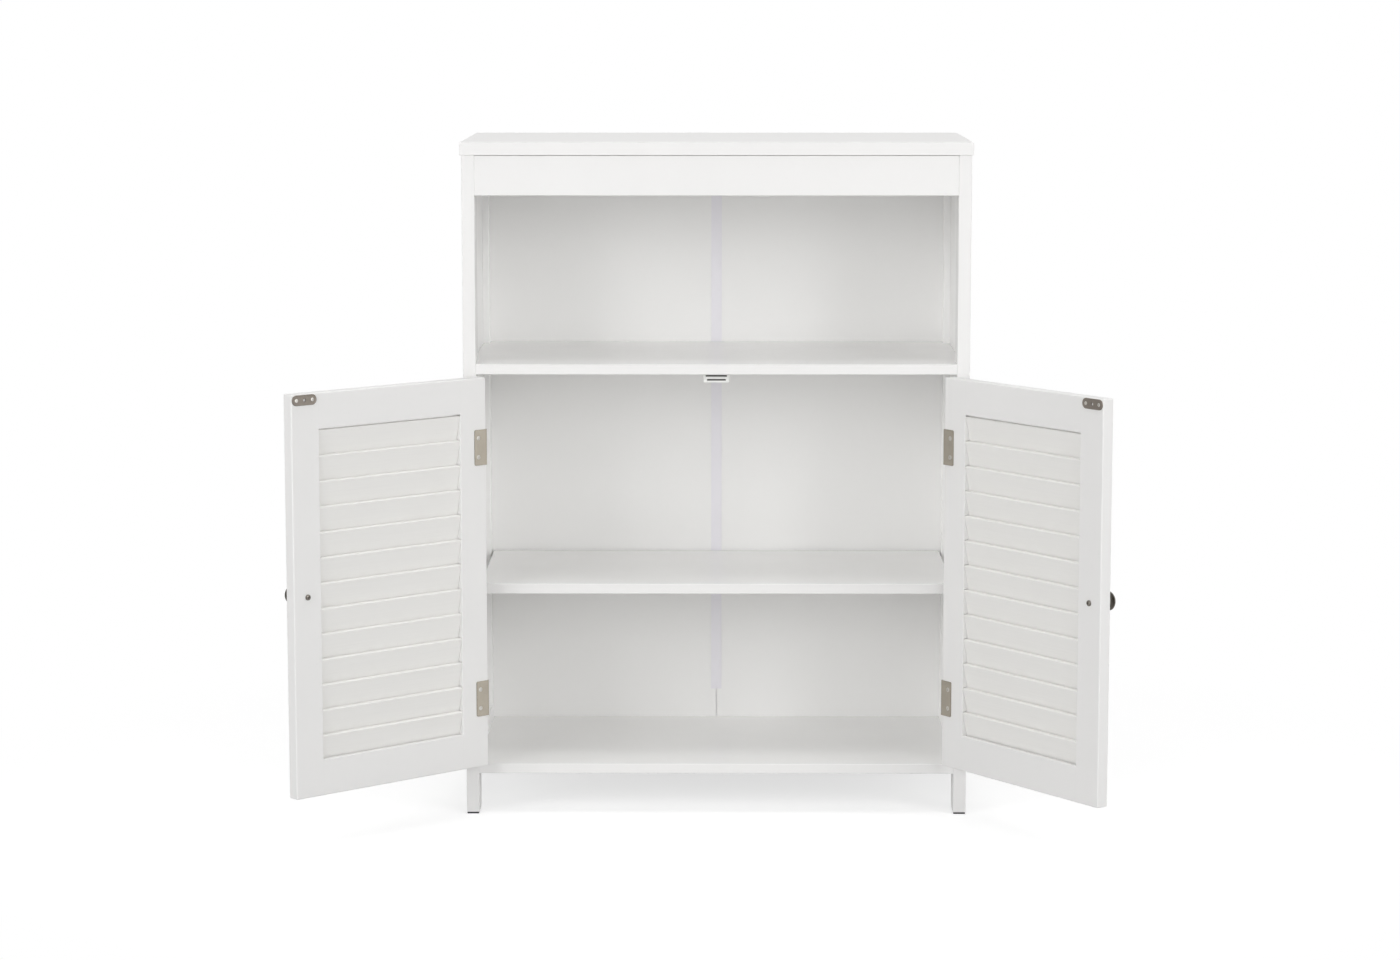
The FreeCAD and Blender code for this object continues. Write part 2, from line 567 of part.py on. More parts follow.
def catch_housing():
    """Plastic housing under the middle shelf, moulded around the pole plates."""
    lower, upper = catch_levels()
    housing = eased(across(CATCH_WIDTH, (CATCH_FRONT, CATCH_FRONT + CATCH_DEPTH),
                           (CATCH_BOTTOM, MIDDLE_SHELF_BOTTOM)), BOARD_EDGE_RADIUS, "yz")
    cavity = across(UPPER_POLE_WIDTH, (CATCH_FRONT + CATCH_WALL, CATCH_FRONT + CATCH_CAVITY_DEPTH),
                    (lower, upper + POLE_THICKNESS))
    return housing.cut([cavity, *catch_pole_plates()])


# ---- hinges, for a closed left door -------------------------------------------------
def leaf_span(middle):
    return (middle - HINGE_HEIGHT / 2, middle + HINGE_HEIGHT / 2)


def knuckle_spans(middle):
    """Height ranges of the lower, centre and upper knuckle."""
    bottom, top = leaf_span(middle)
    half_centre = (HINGE_HEIGHT / 3 - KNUCKLE_GAP) / 2
    return ((bottom, middle - half_centre - KNUCKLE_GAP), (middle - half_centre, middle + half_centre),
            (middle + half_centre + KNUCKLE_GAP, top))


def knuckle(span, leaf_x):
    """A knuckle around the pin axis, with the neck that joins it to its leaf."""
    barrel = rod(KNUCKLE_RADIUS, V(-PIN_AXIS_X, PIN_AXIS_Y, span[0]), Z, span[1] - span[0])
    neck = block(leaf_x, (PIN_AXIS_Y, FRONT + HINGE_RELIEF), span)
    return barrel.fuse(neck)


def pin_bore(middle):
    return rod(HINGE_PIN_RADIUS + HINGE_PIN_FIT,
               V(-PIN_AXIS_X, PIN_AXIS_Y, middle - HINGE_HEIGHT / 2), Z, HINGE_HEIGHT)


def hinge_frame_leaf(middle):
    """Leaf on the inner face of the post, with the two end knuckles."""
    x = (-INNER, -INNER + HINGE_LEAF_THICKNESS)
    z = leaf_span(middle)
    root_y = FRONT + HINGE_RELIEF
    plate = eased(block(x, (root_y, FRONT + HINGE_FRAME_LEAF_WIDTH), z), HINGE_CORNER_RADIUS, "x")
    root = block(x, (root_y, root_y + HINGE_CORNER_RADIUS), z)
    lower, _, upper = knuckle_spans(middle)
    leaf = plate.fuse([root, knuckle(lower, x), knuckle(upper, x)]).removeSplitter()
    return leaf.cut(pin_bore(middle))


def hinge_door_leaf(middle):
    """Leaf around the door's edge and onto its inner face, with the centre knuckle."""
    z = leaf_span(middle)
    edge_x = (-DOOR_HINGE_EDGE - HINGE_LEAF_THICKNESS, -DOOR_HINGE_EDGE)
    flap_y = (DOOR_INSIDE, DOOR_INSIDE + HINGE_LEAF_THICKNESS)
    flap = eased(block((edge_x[0], -DOOR_HINGE_EDGE + HINGE_DOOR_LEAF_WIDTH), flap_y, z),
                 HINGE_CORNER_RADIUS, "y")
    root = block((edge_x[0], edge_x[0] + HINGE_CORNER_RADIUS), flap_y, z)
    strap = block(edge_x, (FRONT + HINGE_RELIEF, flap_y[1]), z)
    centre = knuckle(knuckle_spans(middle)[1], edge_x)
    fold = edge_rounder(V(edge_x[0], flap_y[1], z[0]), X - Y, HINGE_FOLD_RADIUS, HINGE_HEIGHT)
    return flap.fuse([root, strap, centre]).removeSplitter().cut([fold, pin_bore(middle)])


def hinge_pin(middle):
    bottom = V(-PIN_AXIS_X, PIN_AXIS_Y, middle - HINGE_HEIGHT / 2)
    pin = rod(HINGE_PIN_RADIUS, bottom, Z, HINGE_HEIGHT)
    caps = [rod(HINGE_PIN_CAP_RADIUS, bottom, -Z, HINGE_PIN_CAP_THICKNESS),
            rod(HINGE_PIN_CAP_RADIUS, bottom + Z * HINGE_HEIGHT, Z, HINGE_PIN_CAP_THICKNESS)]
    return pin.fuse(caps)


def hinge_screw_heads(point):
    """Head centres of one leaf's screws on every hinge, at point(height)."""
    return [point(middle + side * HINGE_SCREW_SPACING / 2)
            for middle in HINGE_CENTRES for side in (-1, 1)]


def frame_screw_heads():
    x = -INNER + HINGE_LEAF_THICKNESS
    return hinge_screw_heads(lambda z: V(x, FRONT + HINGE_SCREW_FROM_EDGE, z))


def door_screw_heads():
    y = DOOR_INSIDE + HINGE_LEAF_THICKNESS
    return hinge_screw_heads(lambda z: V(-DOOR_HINGE_EDGE + HINGE_SCREW_FROM_EDGE, y, z))


# ---- left door, closed --------------------------------------------------------------
def slat_shape(length, ease=0.0, room=0.0):
    """A tilted slat on the door's middle plane, centred on z = 0.
    Its slot is wider by ease on each face and longer by ease and room at each edge."""
    half_thickness = SLAT_THICKNESS / 2 + ease
    half_chord = SLAT_CHORD / 2 + ease + room
    middle_x = -(FIELD_HINGE_SIDE + FIELD_FREE_SIDE) / 2
    board = block((middle_x - length / 2, middle_x + length / 2), (-half_thickness, half_thickness),
                  (-half_chord, half_chord))
    board = eased(board, SLAT_EDGE_RADIUS, "x")
    board.rotate(V(0, 0, 0), X, -SLAT_TILT)
    board.translate(V(0, FRONT + DOOR_THICKNESS / 2, 0))
    return board


def slat_levels():
    first = FIELD_TOP - SLAT_TOP_GAP - SLAT_RISE / 2
    return [first - SLAT_PITCH * step for step in range(SLAT_COUNT)]


def at_levels(shape, levels):
    copies = []
    for level in levels:
        copy = shape.copy()
        copy.translate(V(0, 0, level))
        copies.append(copy)
    return copies


def door_frame():
    """Stiles and rails in one, with eased edges, before it is parted at the joints."""
    depth = (FRONT, DOOR_INSIDE)
    frame = eased(block((-DOOR_HINGE_EDGE, -DOOR_FREE_EDGE), depth, (DOOR_BOTTOM, DOOR_TOP)),
                  DOOR_EDGE_RADIUS)
    field = block((-FIELD_HINGE_SIDE, -FIELD_FREE_SIDE), depth, (FIELD_BOTTOM, FIELD_TOP))
    frame = frame.cut(field)
    around = field.BoundBox
    around.enlarge(DOOR_FIELD_RADIUS)
    rims = [edge for edge in frame.Edges
            if around.isInside(edge.BoundBox) and edge.BoundBox.YLength < DOOR_FIELD_RADIUS]
    return frame.makeFillet(DOOR_FIELD_RADIUS, rims)


def last_slat_rebate():
    """Cutter for the rebate that takes the lower edge of the last slat."""
    overlap = FIELD_BOTTOM - (slat_levels()[-1] - SLAT_RISE / 2)
    tilt = radians(SLAT_TILT)
    depth = SLAT_THICKNESS / cos(tilt) + overlap * sin(tilt) + REBATE_ROOM
    return block((-FIELD_HINGE_SIDE, -FIELD_FREE_SIDE), (FRONT, FRONT + depth),
                 (FIELD_BOTTOM - overlap - SLAT_TOP_GAP, FIELD_BOTTOM + PAST))


def door_dowels():
    """Dowels between rails and stiles, and their bores."""
    pegs, bores = [], []
    middle_y = FRONT + DOOR_THICKNESS / 2
    for face_x, way in ((-FIELD_HINGE_SIDE, -X), (-FIELD_FREE_SIDE, X)):
        for low, high in ((FIELD_TOP, DOOR_TOP), (DOOR_BOTTOM, FIELD_BOTTOM)):
            for level in (low + DOOR_DOWEL_FROM_EDGE, high - DOOR_DOWEL_FROM_EDGE):
                start = V(face_x, middle_y, level) - way * (DOWEL_LENGTH / 2)
                pegs.append(rod(DOWEL_RADIUS, start, way, DOWEL_LENGTH))
                bores.append(rod(DOWEL_RADIUS + BORE_CLEARANCE, start - way * BORE_CLEARANCE, way,
                                 DOWEL_LENGTH + 2 * BORE_CLEARANCE))
    return pegs, bores


def knob():
    """Turned mushroom knob on the outer face, bored for its screw."""
    sphere = (KNOB_RADIUS ** 2 + KNOB_DOME_RISE ** 2) / (2 * KNOB_DOME_RISE)
    half_angle = asin(KNOB_RADIUS / sphere) / 2
    rim_top = KNOB_HEIGHT - KNOB_DOME_RISE
    rim_bottom = rim_top - KNOB_RIM
    cove = KNOB_RADIUS - KNOB_NECK_RADIUS
    axis_start, foot, foot_top, neck, cove_start, cove_mid, rim, dome_start, dome_mid, axis_end = (
        V(KNOB_X + radius, FRONT - height, KNOB_Z) for radius, height in (
            (0, 0), (KNOB_FOOT_RADIUS, 0), (KNOB_FOOT_RADIUS, KNOB_FOOT_THICKNESS),
            (KNOB_NECK_RADIUS, KNOB_NECK_HEIGHT), (KNOB_NECK_RADIUS, rim_bottom - cove),
            (KNOB_RADIUS - cove * cos(pi / 4), rim_bottom - cove + cove * sin(pi / 4)),
            (KNOB_RADIUS, rim_bottom), (KNOB_RADIUS, rim_top),
            (sphere * sin(half_angle), KNOB_HEIGHT - sphere * (1 - cos(half_angle))),
            (0, KNOB_HEIGHT)))
    outline = [*Part.makePolygon([axis_start, foot, foot_top, neck, cove_start]).Edges,
               Part.Arc(cove_start, cove_mid, rim).toShape(),
               Part.LineSegment(rim, dome_start).toShape(),
               Part.Arc(dome_start, dome_mid, axis_end).toShape(),
               Part.LineSegment(axis_end, axis_start).toShape()]
    turned = Part.Face(Part.Wire(outline)).revolve(V(KNOB_X, FRONT, KNOB_Z), Y, 360)
    bore = rod(KNOB_SCREW_RADIUS + BORE_CLEARANCE, V(KNOB_X, FRONT, KNOB_Z), -Y,
               KNOB_SCREW_BITE + BORE_CLEARANCE)
    return turned.cut(bore)


def knob_screw():
    """Pan head on the inner face, shank through the stile and into the knob."""
    seat = V(KNOB_X, DOOR_INSIDE, KNOB_Z)
    head = rod(KNOB_SCREW_HEAD_RADIUS, seat, Y, KNOB_SCREW_HEAD_DEPTH)
    rim = max(head.Edges, key=lambda edge: edge.BoundBox.YMin)
    head = head.makeFillet(KNOB_SCREW_EDGE_RADIUS, [rim])
    shank = rod(KNOB_SCREW_RADIUS, seat, -Y, DOOR_THICKNESS + KNOB_SCREW_BITE)
    recess = screw_recess(seat + Y * KNOB_SCREW_HEAD_DEPTH, -Y, KNOB_SCREW_HEAD_RADIUS)
    return head.fuse(shank).cut(recess)


def knob_screw_bore():
    return rod(KNOB_SCREW_RADIUS + BORE_CLEARANCE, V(KNOB_X, DOOR_INSIDE, KNOB_Z), -Y, DOOR_THICKNESS)


def strike_screw_heads():
    y = DOOR_INSIDE + STRIKE_THICKNESS
    return [V(STRIKE_X + side * STRIKE_SCREW_SPACING / 2, y, STRIKE_Z) for side in (-1, 1)]


def strike_plate():
    """Steel plate with round ends and a middle hole, which meets the magnetic catch."""
    half = (STRIKE_LENGTH - STRIKE_HEIGHT) / 2
    radius = STRIKE_HEIGHT / 2
    start = V(STRIKE_X, DOOR_INSIDE, STRIKE_Z)
    bar = block((STRIKE_X - half, STRIKE_X + half), (DOOR_INSIDE, DOOR_INSIDE + STRIKE_THICKNESS),
                (STRIKE_Z - radius, STRIKE_Z + radius))
    ends = [rod(radius, start + X * side * half, Y, STRIKE_THICKNESS) for side in (-1, 1)]
    hole = rod(STRIKE_HOLE_RADIUS, start, Y, STRIKE_THICKNESS)
    return bar.fuse(ends).removeSplitter().cut(hole)


def flat_screw_set(heads, along, length, radius, head_radius):
    """Screws at the given head centres, and their bores."""
    size = (along, length, radius, head_radius)
    screws = [flat_screw(head, *size) for head in heads]
    return screws, [flat_screw_bore(head, *size) for head in heads]


def left_door():
    """Every piece of the left door by name, with the door closed."""
    hinge_screws, hinge_bores = flat_screw_set(door_screw_heads(), -Y, SCREW_LENGTH, SCREW_RADIUS,
                                               SCREW_HEAD_RADIUS)
    strike_screws, strike_bores = flat_screw_set(strike_screw_heads(), -Y, SCREW_LENGTH,
                                                 SMALL_SCREW_RADIUS, SMALL_SCREW_HEAD_RADIUS)
    dowels, dowel_bores = door_dowels()
    slots = at_levels(slat_shape(SLAT_LENGTH, SLAT_EASE, SLOT_ROOM), slat_levels())
    frame = door_frame().cut([last_slat_rebate(), *slots])
    frame = frame.cut([knob_screw_bore(), *hinge_bores, *strike_bores, *dowel_bores])
    all_y = (FRONT - PAST, DOOR_INSIDE + PAST)
    all_z = (DOOR_BOTTOM - PAST, DOOR_TOP + PAST)
    rail_x = (-FIELD_HINGE_SIDE, -FIELD_FREE_SIDE)
    return {
        "hinge_stile": frame.common(block((-DOOR_HINGE_EDGE - PAST, -FIELD_HINGE_SIDE), all_y, all_z)),
        "knob_stile": frame.common(block((-FIELD_FREE_SIDE, -DOOR_FREE_EDGE + PAST), all_y, all_z)),
        "door_top_rail": frame.common(block(rail_x, all_y, (FIELD_TOP - PAST, DOOR_TOP + PAST))),
        "door_bottom_rail": frame.common(block(rail_x, all_y, (DOOR_BOTTOM - PAST, FIELD_BOTTOM + PAST))),
        "door_dowels": dowels,
        "louvre_slats": at_levels(slat_shape(SLAT_LENGTH - 2 * SLAT_END_GAP), slat_levels()),
        "knob": knob(),
        "knob_screw": knob_screw(),
        "strike_plate": strike_plate().cut(strike_bores),
        "strike_screws": strike_screws,
        "hinge_door_leaves": [hinge_door_leaf(z).cut(hinge_bores) for z in HINGE_CENTRES],
        "hinge_door_screws": hinge_screws,
    }


def swung(shape, opening):
    """The left door's piece with the door opened about its hinge pins."""
    copy = shape.copy()
    copy.rotate(V(-PIN_AXIS_X, PIN_AXIS_Y, 0), Z, -opening)
    return copy


# ---- assembly -----------------------------------------------------------------------
def carcass():
    """Every piece that stands still, by name."""
    dowels, dowel_bores = carcass_dowels()
    cams, bolts, cam_bores = carcass_cams()
    nails, nail_bores = back_nails()
    pins, pin_bores = shelf_pins()
    leaf_screws, leaf_bores = flat_screw_set(frame_screw_heads(), -X, SCREW_LENGTH, SCREW_RADIUS,
                                             SCREW_HEAD_RADIUS)
    catch_screws, catch_bores = flat_screw_set(catch_screw_heads(), Z, CATCH_HEIGHT + CATCH_SCREW_BITE,
                                               SMALL_SCREW_RADIUS, SMALL_SCREW_HEAD_RADIUS)
    bores = [*dowel_bores, *cam_bores, *nail_bores, *pin_bores, *with_mirror(leaf_bores), *catch_bores]
    top_rail = side_rail((SIDE_TOP_RAIL_BOTTOM, TOP_UNDERSIDE),
                         (SIDE_TOP_RAIL_BOTTOM, SIDE_TOP_RAIL_BOTTOM + GROOVE_DEPTH))
    bottom_rail = side_rail((BOTTOM_CLEARANCE, SIDE_BOTTOM_RAIL_TOP),
                            (SIDE_BOTTOM_RAIL_TOP - GROOVE_DEPTH, SIDE_BOTTOM_RAIL_TOP))
    handed = {"front_post": front_post(), "back_post": back_post(), "side_panel": side_panel(),
              "side_top_rail": top_rail, "side_bottom_rail": bottom_rail, "back_panel": back_panel()}
    boards = {"top_panel": top_panel(), "front_apron": front_apron(), "rear_rail": rear_rail(),
              "middle_shelf": middle_shelf(), "bottom_panel": bottom_panel(),
              "catch_housing": catch_housing()}
    for name, left in handed.items():
        boards[name + "_left"] = left
        boards[name + "_right"] = mirrored(left)
    pieces = {name: bored(board, bores) for name, board in boards.items()}
    pieces.update({
        "back_joint_strip": back_joint_strip(),
        "leg_glides": leg_glides(),
        "carcass_dowels": dowels,
        "cam_locks": cams,
        "cam_bolts": bolts,
        "back_nails": nails,
        "shelf_pins": pins,
        "catch_magnet": catch_magnet(),
        "catch_pole_plates": catch_pole_plates(),
        "catch_screws": catch_screws,
        "hinge_frame_leaves": with_mirror([hinge_frame_leaf(z).cut(leaf_bores) for z in HINGE_CENTRES]),
        "hinge_frame_screws": with_mirror(leaf_screws),
        "hinge_pins": with_mirror([hinge_pin(z) for z in HINGE_CENTRES]),
    })
    return pieces


def cabinet():
    """Every piece by name, with the doors at their resting angles."""
    pieces = carcass()
    pieces["adjustable_shelf"] = adjustable_shelf()
    for name, made in left_door().items():
        group = made if isinstance(made, list) else [made]
        pieces[name + "_left"] = [swung(shape, LEFT_DOOR_OPENING) for shape in group]
        pieces[name + "_right"] = [mirrored(swung(shape, RIGHT_DOOR_OPENING)) for shape in group]
    return pieces


def write(name, made):
    group = made if isinstance(made, list) else [made]
    solids = [solid for shape in group for solid in shape.Solids]
    shape = solids[0] if len(solids) == 1 else Part.makeCompound(solids)
    shape.exportStep(f"parts/{name}.step")


os.makedirs("parts", exist_ok=True)
for piece_name, piece in cabinet().items():
    write(piece_name, piece)
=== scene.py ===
import json
from math import cos, pi, radians, sin

import bmesh
import bpy
from bpy.props import FloatProperty, FloatVectorProperty, IntProperty, PointerProperty
from mathutils import Matrix, Vector


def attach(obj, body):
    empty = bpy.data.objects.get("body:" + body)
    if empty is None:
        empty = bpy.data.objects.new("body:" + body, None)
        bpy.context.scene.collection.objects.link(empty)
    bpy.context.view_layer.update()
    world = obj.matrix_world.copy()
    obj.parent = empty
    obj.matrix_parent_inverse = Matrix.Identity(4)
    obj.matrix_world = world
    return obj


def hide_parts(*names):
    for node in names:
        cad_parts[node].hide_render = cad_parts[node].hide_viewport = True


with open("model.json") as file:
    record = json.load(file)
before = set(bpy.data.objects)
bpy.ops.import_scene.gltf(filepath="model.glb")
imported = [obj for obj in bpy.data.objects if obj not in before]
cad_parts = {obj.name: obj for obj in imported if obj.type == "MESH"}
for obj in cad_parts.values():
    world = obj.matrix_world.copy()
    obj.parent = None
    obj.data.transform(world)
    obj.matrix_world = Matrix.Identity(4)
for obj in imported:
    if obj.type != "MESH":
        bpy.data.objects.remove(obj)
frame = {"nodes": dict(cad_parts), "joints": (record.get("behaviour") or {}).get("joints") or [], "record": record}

bl_info = {
    "name": "Louvred door cabinet",
    "version": (1, 0, 0),
    "blender": (4, 5, 0),
    "location": "3D View > Sidebar > Cabinet",
    "description": "Finishes, louvres, fittings and studio of a louvred door cabinet",
    "category": "Object",
}

MM = 0.001
NAIL_RISE = 0.8 * MM            # height of a nail's head
X, Y, Z = Vector((1, 0, 0)), Vector((0, 1, 0)), Vector((0, 0, 1))
SIDES = ("left", "right")
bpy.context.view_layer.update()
JOINTS = {joint["name"]: joint for joint in frame["joints"]}


# ---- places read from the frame ------------------------------------------------------
def door_place(side):
    """Takes a piece drawn on a closed left door to where it is on this door."""
    hinge = JOINTS[side + "_door_hinge"]
    x, y, z = hinge["pos_m"]
    pin = Matrix.Translation((-abs(x), y, z))
    swing = pin @ Matrix.Rotation(radians(hinge["range_deg"][0]), 4, "Z") @ pin.inverted()
    return swing if side == "left" else Matrix.Scale(-1, 4, X) @ swing


PLACES = {"carcass": Matrix(), "left": door_place("left"), "right": door_place("right")}


def merged(node):
    """A working copy of a CAD node's mesh with its doubled corners merged."""
    shape = bmesh.new()
    shape.from_mesh(frame["nodes"][node].data)
    bmesh.ops.remove_doubles(shape, verts=shape.verts, dist=1e-6)
    return shape


def solid_boxes(node, where="carcass"):
    """Lowest and highest corner of each solid of a CAD node, a door's as if closed on the left."""
    shape = merged(node)
    shape.transform(PLACES[where].inverted())
    boxes, waiting = [], set(shape.verts)
    while waiting:
        found, queue = [], [waiting.pop()]
        while queue:
            corner = queue.pop()
            found.append(corner)
            joined = {edge.other_vert(corner) for edge in corner.link_edges} & waiting
            waiting -= joined
            queue += joined
        columns = list(zip(*(corner.co for corner in found)))
        boxes.append((Vector(map(min, columns)), Vector(map(max, columns))))
    shape.free()
    return sorted(boxes, key=lambda box: tuple(round(value, 5) for value in (box[0] + box[1])))


# ---- node graphs ---------------------------------------------------------------------
class Link:
    """A socket of a graph. Arithmetic on it adds the Math nodes that it needs."""

    def __init__(self, graph, socket):
        self.graph, self.socket = graph, socket

    def math(self, operation, *operands):
        return self.graph.node("Math", {"operation": operation}, dict(enumerate(operands)))

    def __add__(self, other):
        return self.math("ADD", self, other)

    def __radd__(self, other):
        return self.math("ADD", other, self)

    def __sub__(self, other):
        return self.math("SUBTRACT", self, other)

    def __rsub__(self, other):
        return self.math("SUBTRACT", other, self)

    def __mul__(self, other):
        return self.math("MULTIPLY", self, other)

    def __rmul__(self, other):
        return self.math("MULTIPLY", other, self)

    def __neg__(self):
        return self.math("MULTIPLY", self, -1.0)


class Graph:
    """A node tree in the making. A kind of node is its type without the prefix."""

    prefix = "ShaderNode"
    other_prefixes = {}

    def __init__(self, tree):
        self.tree = tree

    def node(self, kind, settings=None, inputs=None, output=0):
        """Adds a node: first its settings, then the values or links of its sockets."""
        node = self.tree.nodes.new(self.other_prefixes.get(kind, self.prefix) + kind)
        for key, value in (settings or {}).items():
            setattr(node, key, value)
        for key, value in (inputs or {}).items():
            for one in value if isinstance(value, list) else [value]:
                if isinstance(one, Link):
                    self.tree.links.new(one.socket, node.inputs[key])
                else:
                    node.inputs[key].default_value = one
        return Link(self, node.outputs[output]) if node.outputs else None


class Finish(Graph):
    """A material whose shader is one Principled BSDF."""

    EDGE_BENDS = (0.004, 0.12)      # 1 - cosine of the bend where an edge starts, and is full

    def __init__(self, name):
        self.material = bpy.data.materials.new(name)
        self.material.use_nodes = True
        super().__init__(self.material.node_tree)
        self.tree.nodes.clear()
        self.place = self.node("TexCoord", output=3)

    def noise(self, size, detail=2.0, roughness=0.5, place=None, stretch=None):
        """Noise from 0 to 1 whose grains are about size metres across."""
        place = place or self.place
        if stretch:
            place = self.node("Mapping", None, {0: place, 3: stretch})
        return self.node("TexNoise", None, {
            "Vector": place, "Scale": 1 / size, "Detail": detail, "Roughness": roughness})

    def cells(self, size):
        """Distance to the nearest of scattered points, about size metres apart."""
        return self.node("TexVoronoi", None, {"Vector": self.place, "Scale": 1 / size})

    def ramp(self, value, low, high):
        """0 below low, 1 above high, smooth between."""
        return self.node("MapRange", {"interpolation_type": "SMOOTHSTEP"},
                         {0: value, 1: low, 2: high})

    def blend(self, share, first, second):
        """The first colour, going over to the second by share."""
        return self.node("Mix", {"data_type": "RGBA", "clamp_factor": True},
                         {0: share, 6: first, 7: second}, output=2)

    def tones(self, colour, clouding, low, high, *layers):
        """The colour, clouded from low to high, under layers of mask, cover and share."""
        body = self.blend(clouding, shaded(colour, low), shaded(colour, high))
        for mask, cover, share in layers:
            body = self.blend(mask * cover, body, shaded(colour, share))
        return body

    def edges(self, radius):
        """1 on edges sharper than radius, 0 on open faces."""
        rounded = self.node("Bevel", {"samples": 6}, {"Radius": radius})
        flat = self.node("NewGeometry", output=1)
        along = self.node("VectorMath", {"operation": "DOT_PRODUCT"},
                          {0: rounded, 1: flat}, output=1)
        return self.ramp(1.0 - along, *self.EDGE_BENDS)

    def shader(self, colour, roughness, height, depth, specular=0.5, **sockets):
        """Closes the material, with a relief from the height field that is depth mm deep.
        sockets: values for other sockets of the Principled BSDF, by their names in small."""
        relief = self.node("Bump", None, {
            "Height": height, "Distance": depth * MM, "Strength": 1.0})
        surface = self.node("BsdfPrincipled", None, {
            "Base Color": colour, "Roughness": roughness, "Normal": relief,
            "Specular IOR Level": specular,
            **{key.replace("_", " ").title(): value for key, value in sockets.items()}})
        self.node("OutputMaterial", None, {"Surface": surface})
        return self.material


class Fitting(Graph):
    """A Geometry Nodes tree with named inputs, ending in real mesh with a material."""

    prefix = "GeometryNode"
    other_prefixes = {
        **dict.fromkeys(("Math", "CombineXYZ"), "ShaderNode"),
        **dict.fromkeys(("RandomValue", "AlignRotationToVector", "RotateRotation",
                         "AxisAngleToRotation", "EulerToRotation"), "FunctionNode")}
    kinds = {float: "NodeSocketFloat", int: "NodeSocketInt", Vector: "NodeSocketVector"}

    def __init__(self, name, defaults):
        super().__init__(bpy.data.node_groups.new(name, "GeometryNodeTree"))
        self.sockets = {}
        face = self.tree.interface
        face.new_socket("Geometry", in_out="OUTPUT", socket_type="NodeSocketGeometry")
        face.new_socket("Geometry", in_out="INPUT", socket_type="NodeSocketGeometry")
        for label, default in {**defaults, "Material": None}.items():
            kind = self.kinds.get(type(default), "NodeSocketMaterial")
            socket = face.new_socket(label, in_out="INPUT", socket_type=kind)
            if default is not None:
                socket.default_value = default
            self.sockets[label] = socket.identifier
        self.entry = self.tree.nodes.new("NodeGroupInput")

    def input(self, label):
        return Link(self, self.entry.outputs[label])

    def inputs(self, *labels):
        return [self.input(label) for label in labels]

    def chance(self, low, high):
        """A number by chance for each instance, from the tree's seed."""
        return self.node("RandomValue", {"data_type": "FLOAT"},
                         {2: low, 3: high, "Seed": self.input("Seed")}, output=1)

    def xyz(self, x=0.0, y=0.0, z=0.0):
        return self.node("CombineXYZ", None, {0: x, 1: y, 2: z})

    def box(self, size_x, size_y, low, high):
        body = self.node("MeshCube", None, {"Size": self.xyz(size_x, size_y, high - low)})
        return self.node("Transform", None, {
            "Geometry": body, "Translation": self.xyz(z=(low + high) * 0.5)})

    def cross(self, long, wide, low, high):
        """Cutters for a cross slot."""
        return self.box(long, wide, low, high), self.box(wide, long, low, high)

    def lathe(self, profile, sides):
        """A turned body around Z from radius and height pairs, from its tip upwards."""
        walls = []
        for (near, low), (far, high) in zip(profile, profile[1:]):
            wall = self.node("MeshCone", {"fill_type": "NONE"}, {
                "Vertices": sides, "Radius Bottom": near, "Radius Top": far,
                "Depth": high - low})
            walls.append(self.node("Transform", None, {
                "Geometry": wall, "Translation": self.xyz(z=low)}))
        skin = self.node("JoinGeometry", None, {"Geometry": walls})
        return self.node("MergeByDistance", None, {"Geometry": skin, "Distance": 1e-7})

    def minus(self, body, *cutters):
        return self.node("MeshBoolean", {"operation": "DIFFERENCE", "solver": "EXACT"},
                         {"Mesh 1": body, "Mesh 2": list(cutters)})

    def at_points(self, body):
        """The body at every incoming point, along its axis, each turned by chance."""
        axis = self.node("InputNamedAttribute", {"data_type": "FLOAT_VECTOR"},
                         {"Name": "axis"})
        upright = self.node("AlignRotationToVector", {"axis": "Z"}, {"Vector": axis})
        angle = self.chance(0.0, self.input("Spin"))
        spin = self.node("AxisAngleToRotation", None, {"Axis": (0, 0, 1), "Angle": angle})
        turned = self.node("RotateRotation", {"rotation_space": "LOCAL"},
                           {"Rotation": upright, "Rotate By": spin})
        return self.node("InstanceOnPoints", None, {
            "Points": self.input("Geometry"), "Instance": body, "Rotation": turned})

    def close(self, geometry):
        real = self.node("RealizeInstances", None, {"Geometry": geometry})
        finished = self.node("SetMaterial", None, {
            "Geometry": real, "Material": self.input("Material")})
        exit_node = self.tree.nodes.new("NodeGroupOutput")
        self.tree.links.new(finished.socket, exit_node.inputs[0])
        return self


def drawn(name, fitting, values, points=()):
    """The object that a tree makes from its inputs, as plain mesh."""
    seed = bpy.data.meshes.new(name)
    seed.from_pydata([point for point, _ in points], [], [])
    if points:
        axes = seed.attributes.new("axis", "FLOAT_VECTOR", "POINT")
        for item, (_, axis) in zip(axes.data, points):
            item.vector = axis
    piece = bpy.data.objects.new(name, seed)
    bpy.context.scene.collection.objects.link(piece)
    modifier = piece.modifiers.new(name, "NODES")
    modifier.node_group = fitting.tree
    for label, value in values.items():
        modifier[fitting.sockets[label]] = value
    return plain(piece)


def plain(piece):
    """The piece with its modifiers worked into its mesh."""
    graph = bpy.context.evaluated_depsgraph_get()
    mesh = bpy.data.meshes.new_from_object(
        piece.evaluated_get(graph), preserve_all_data_layers=True, depsgraph=graph)
    piece.modifiers.clear()
    piece.data = mesh
    return piece


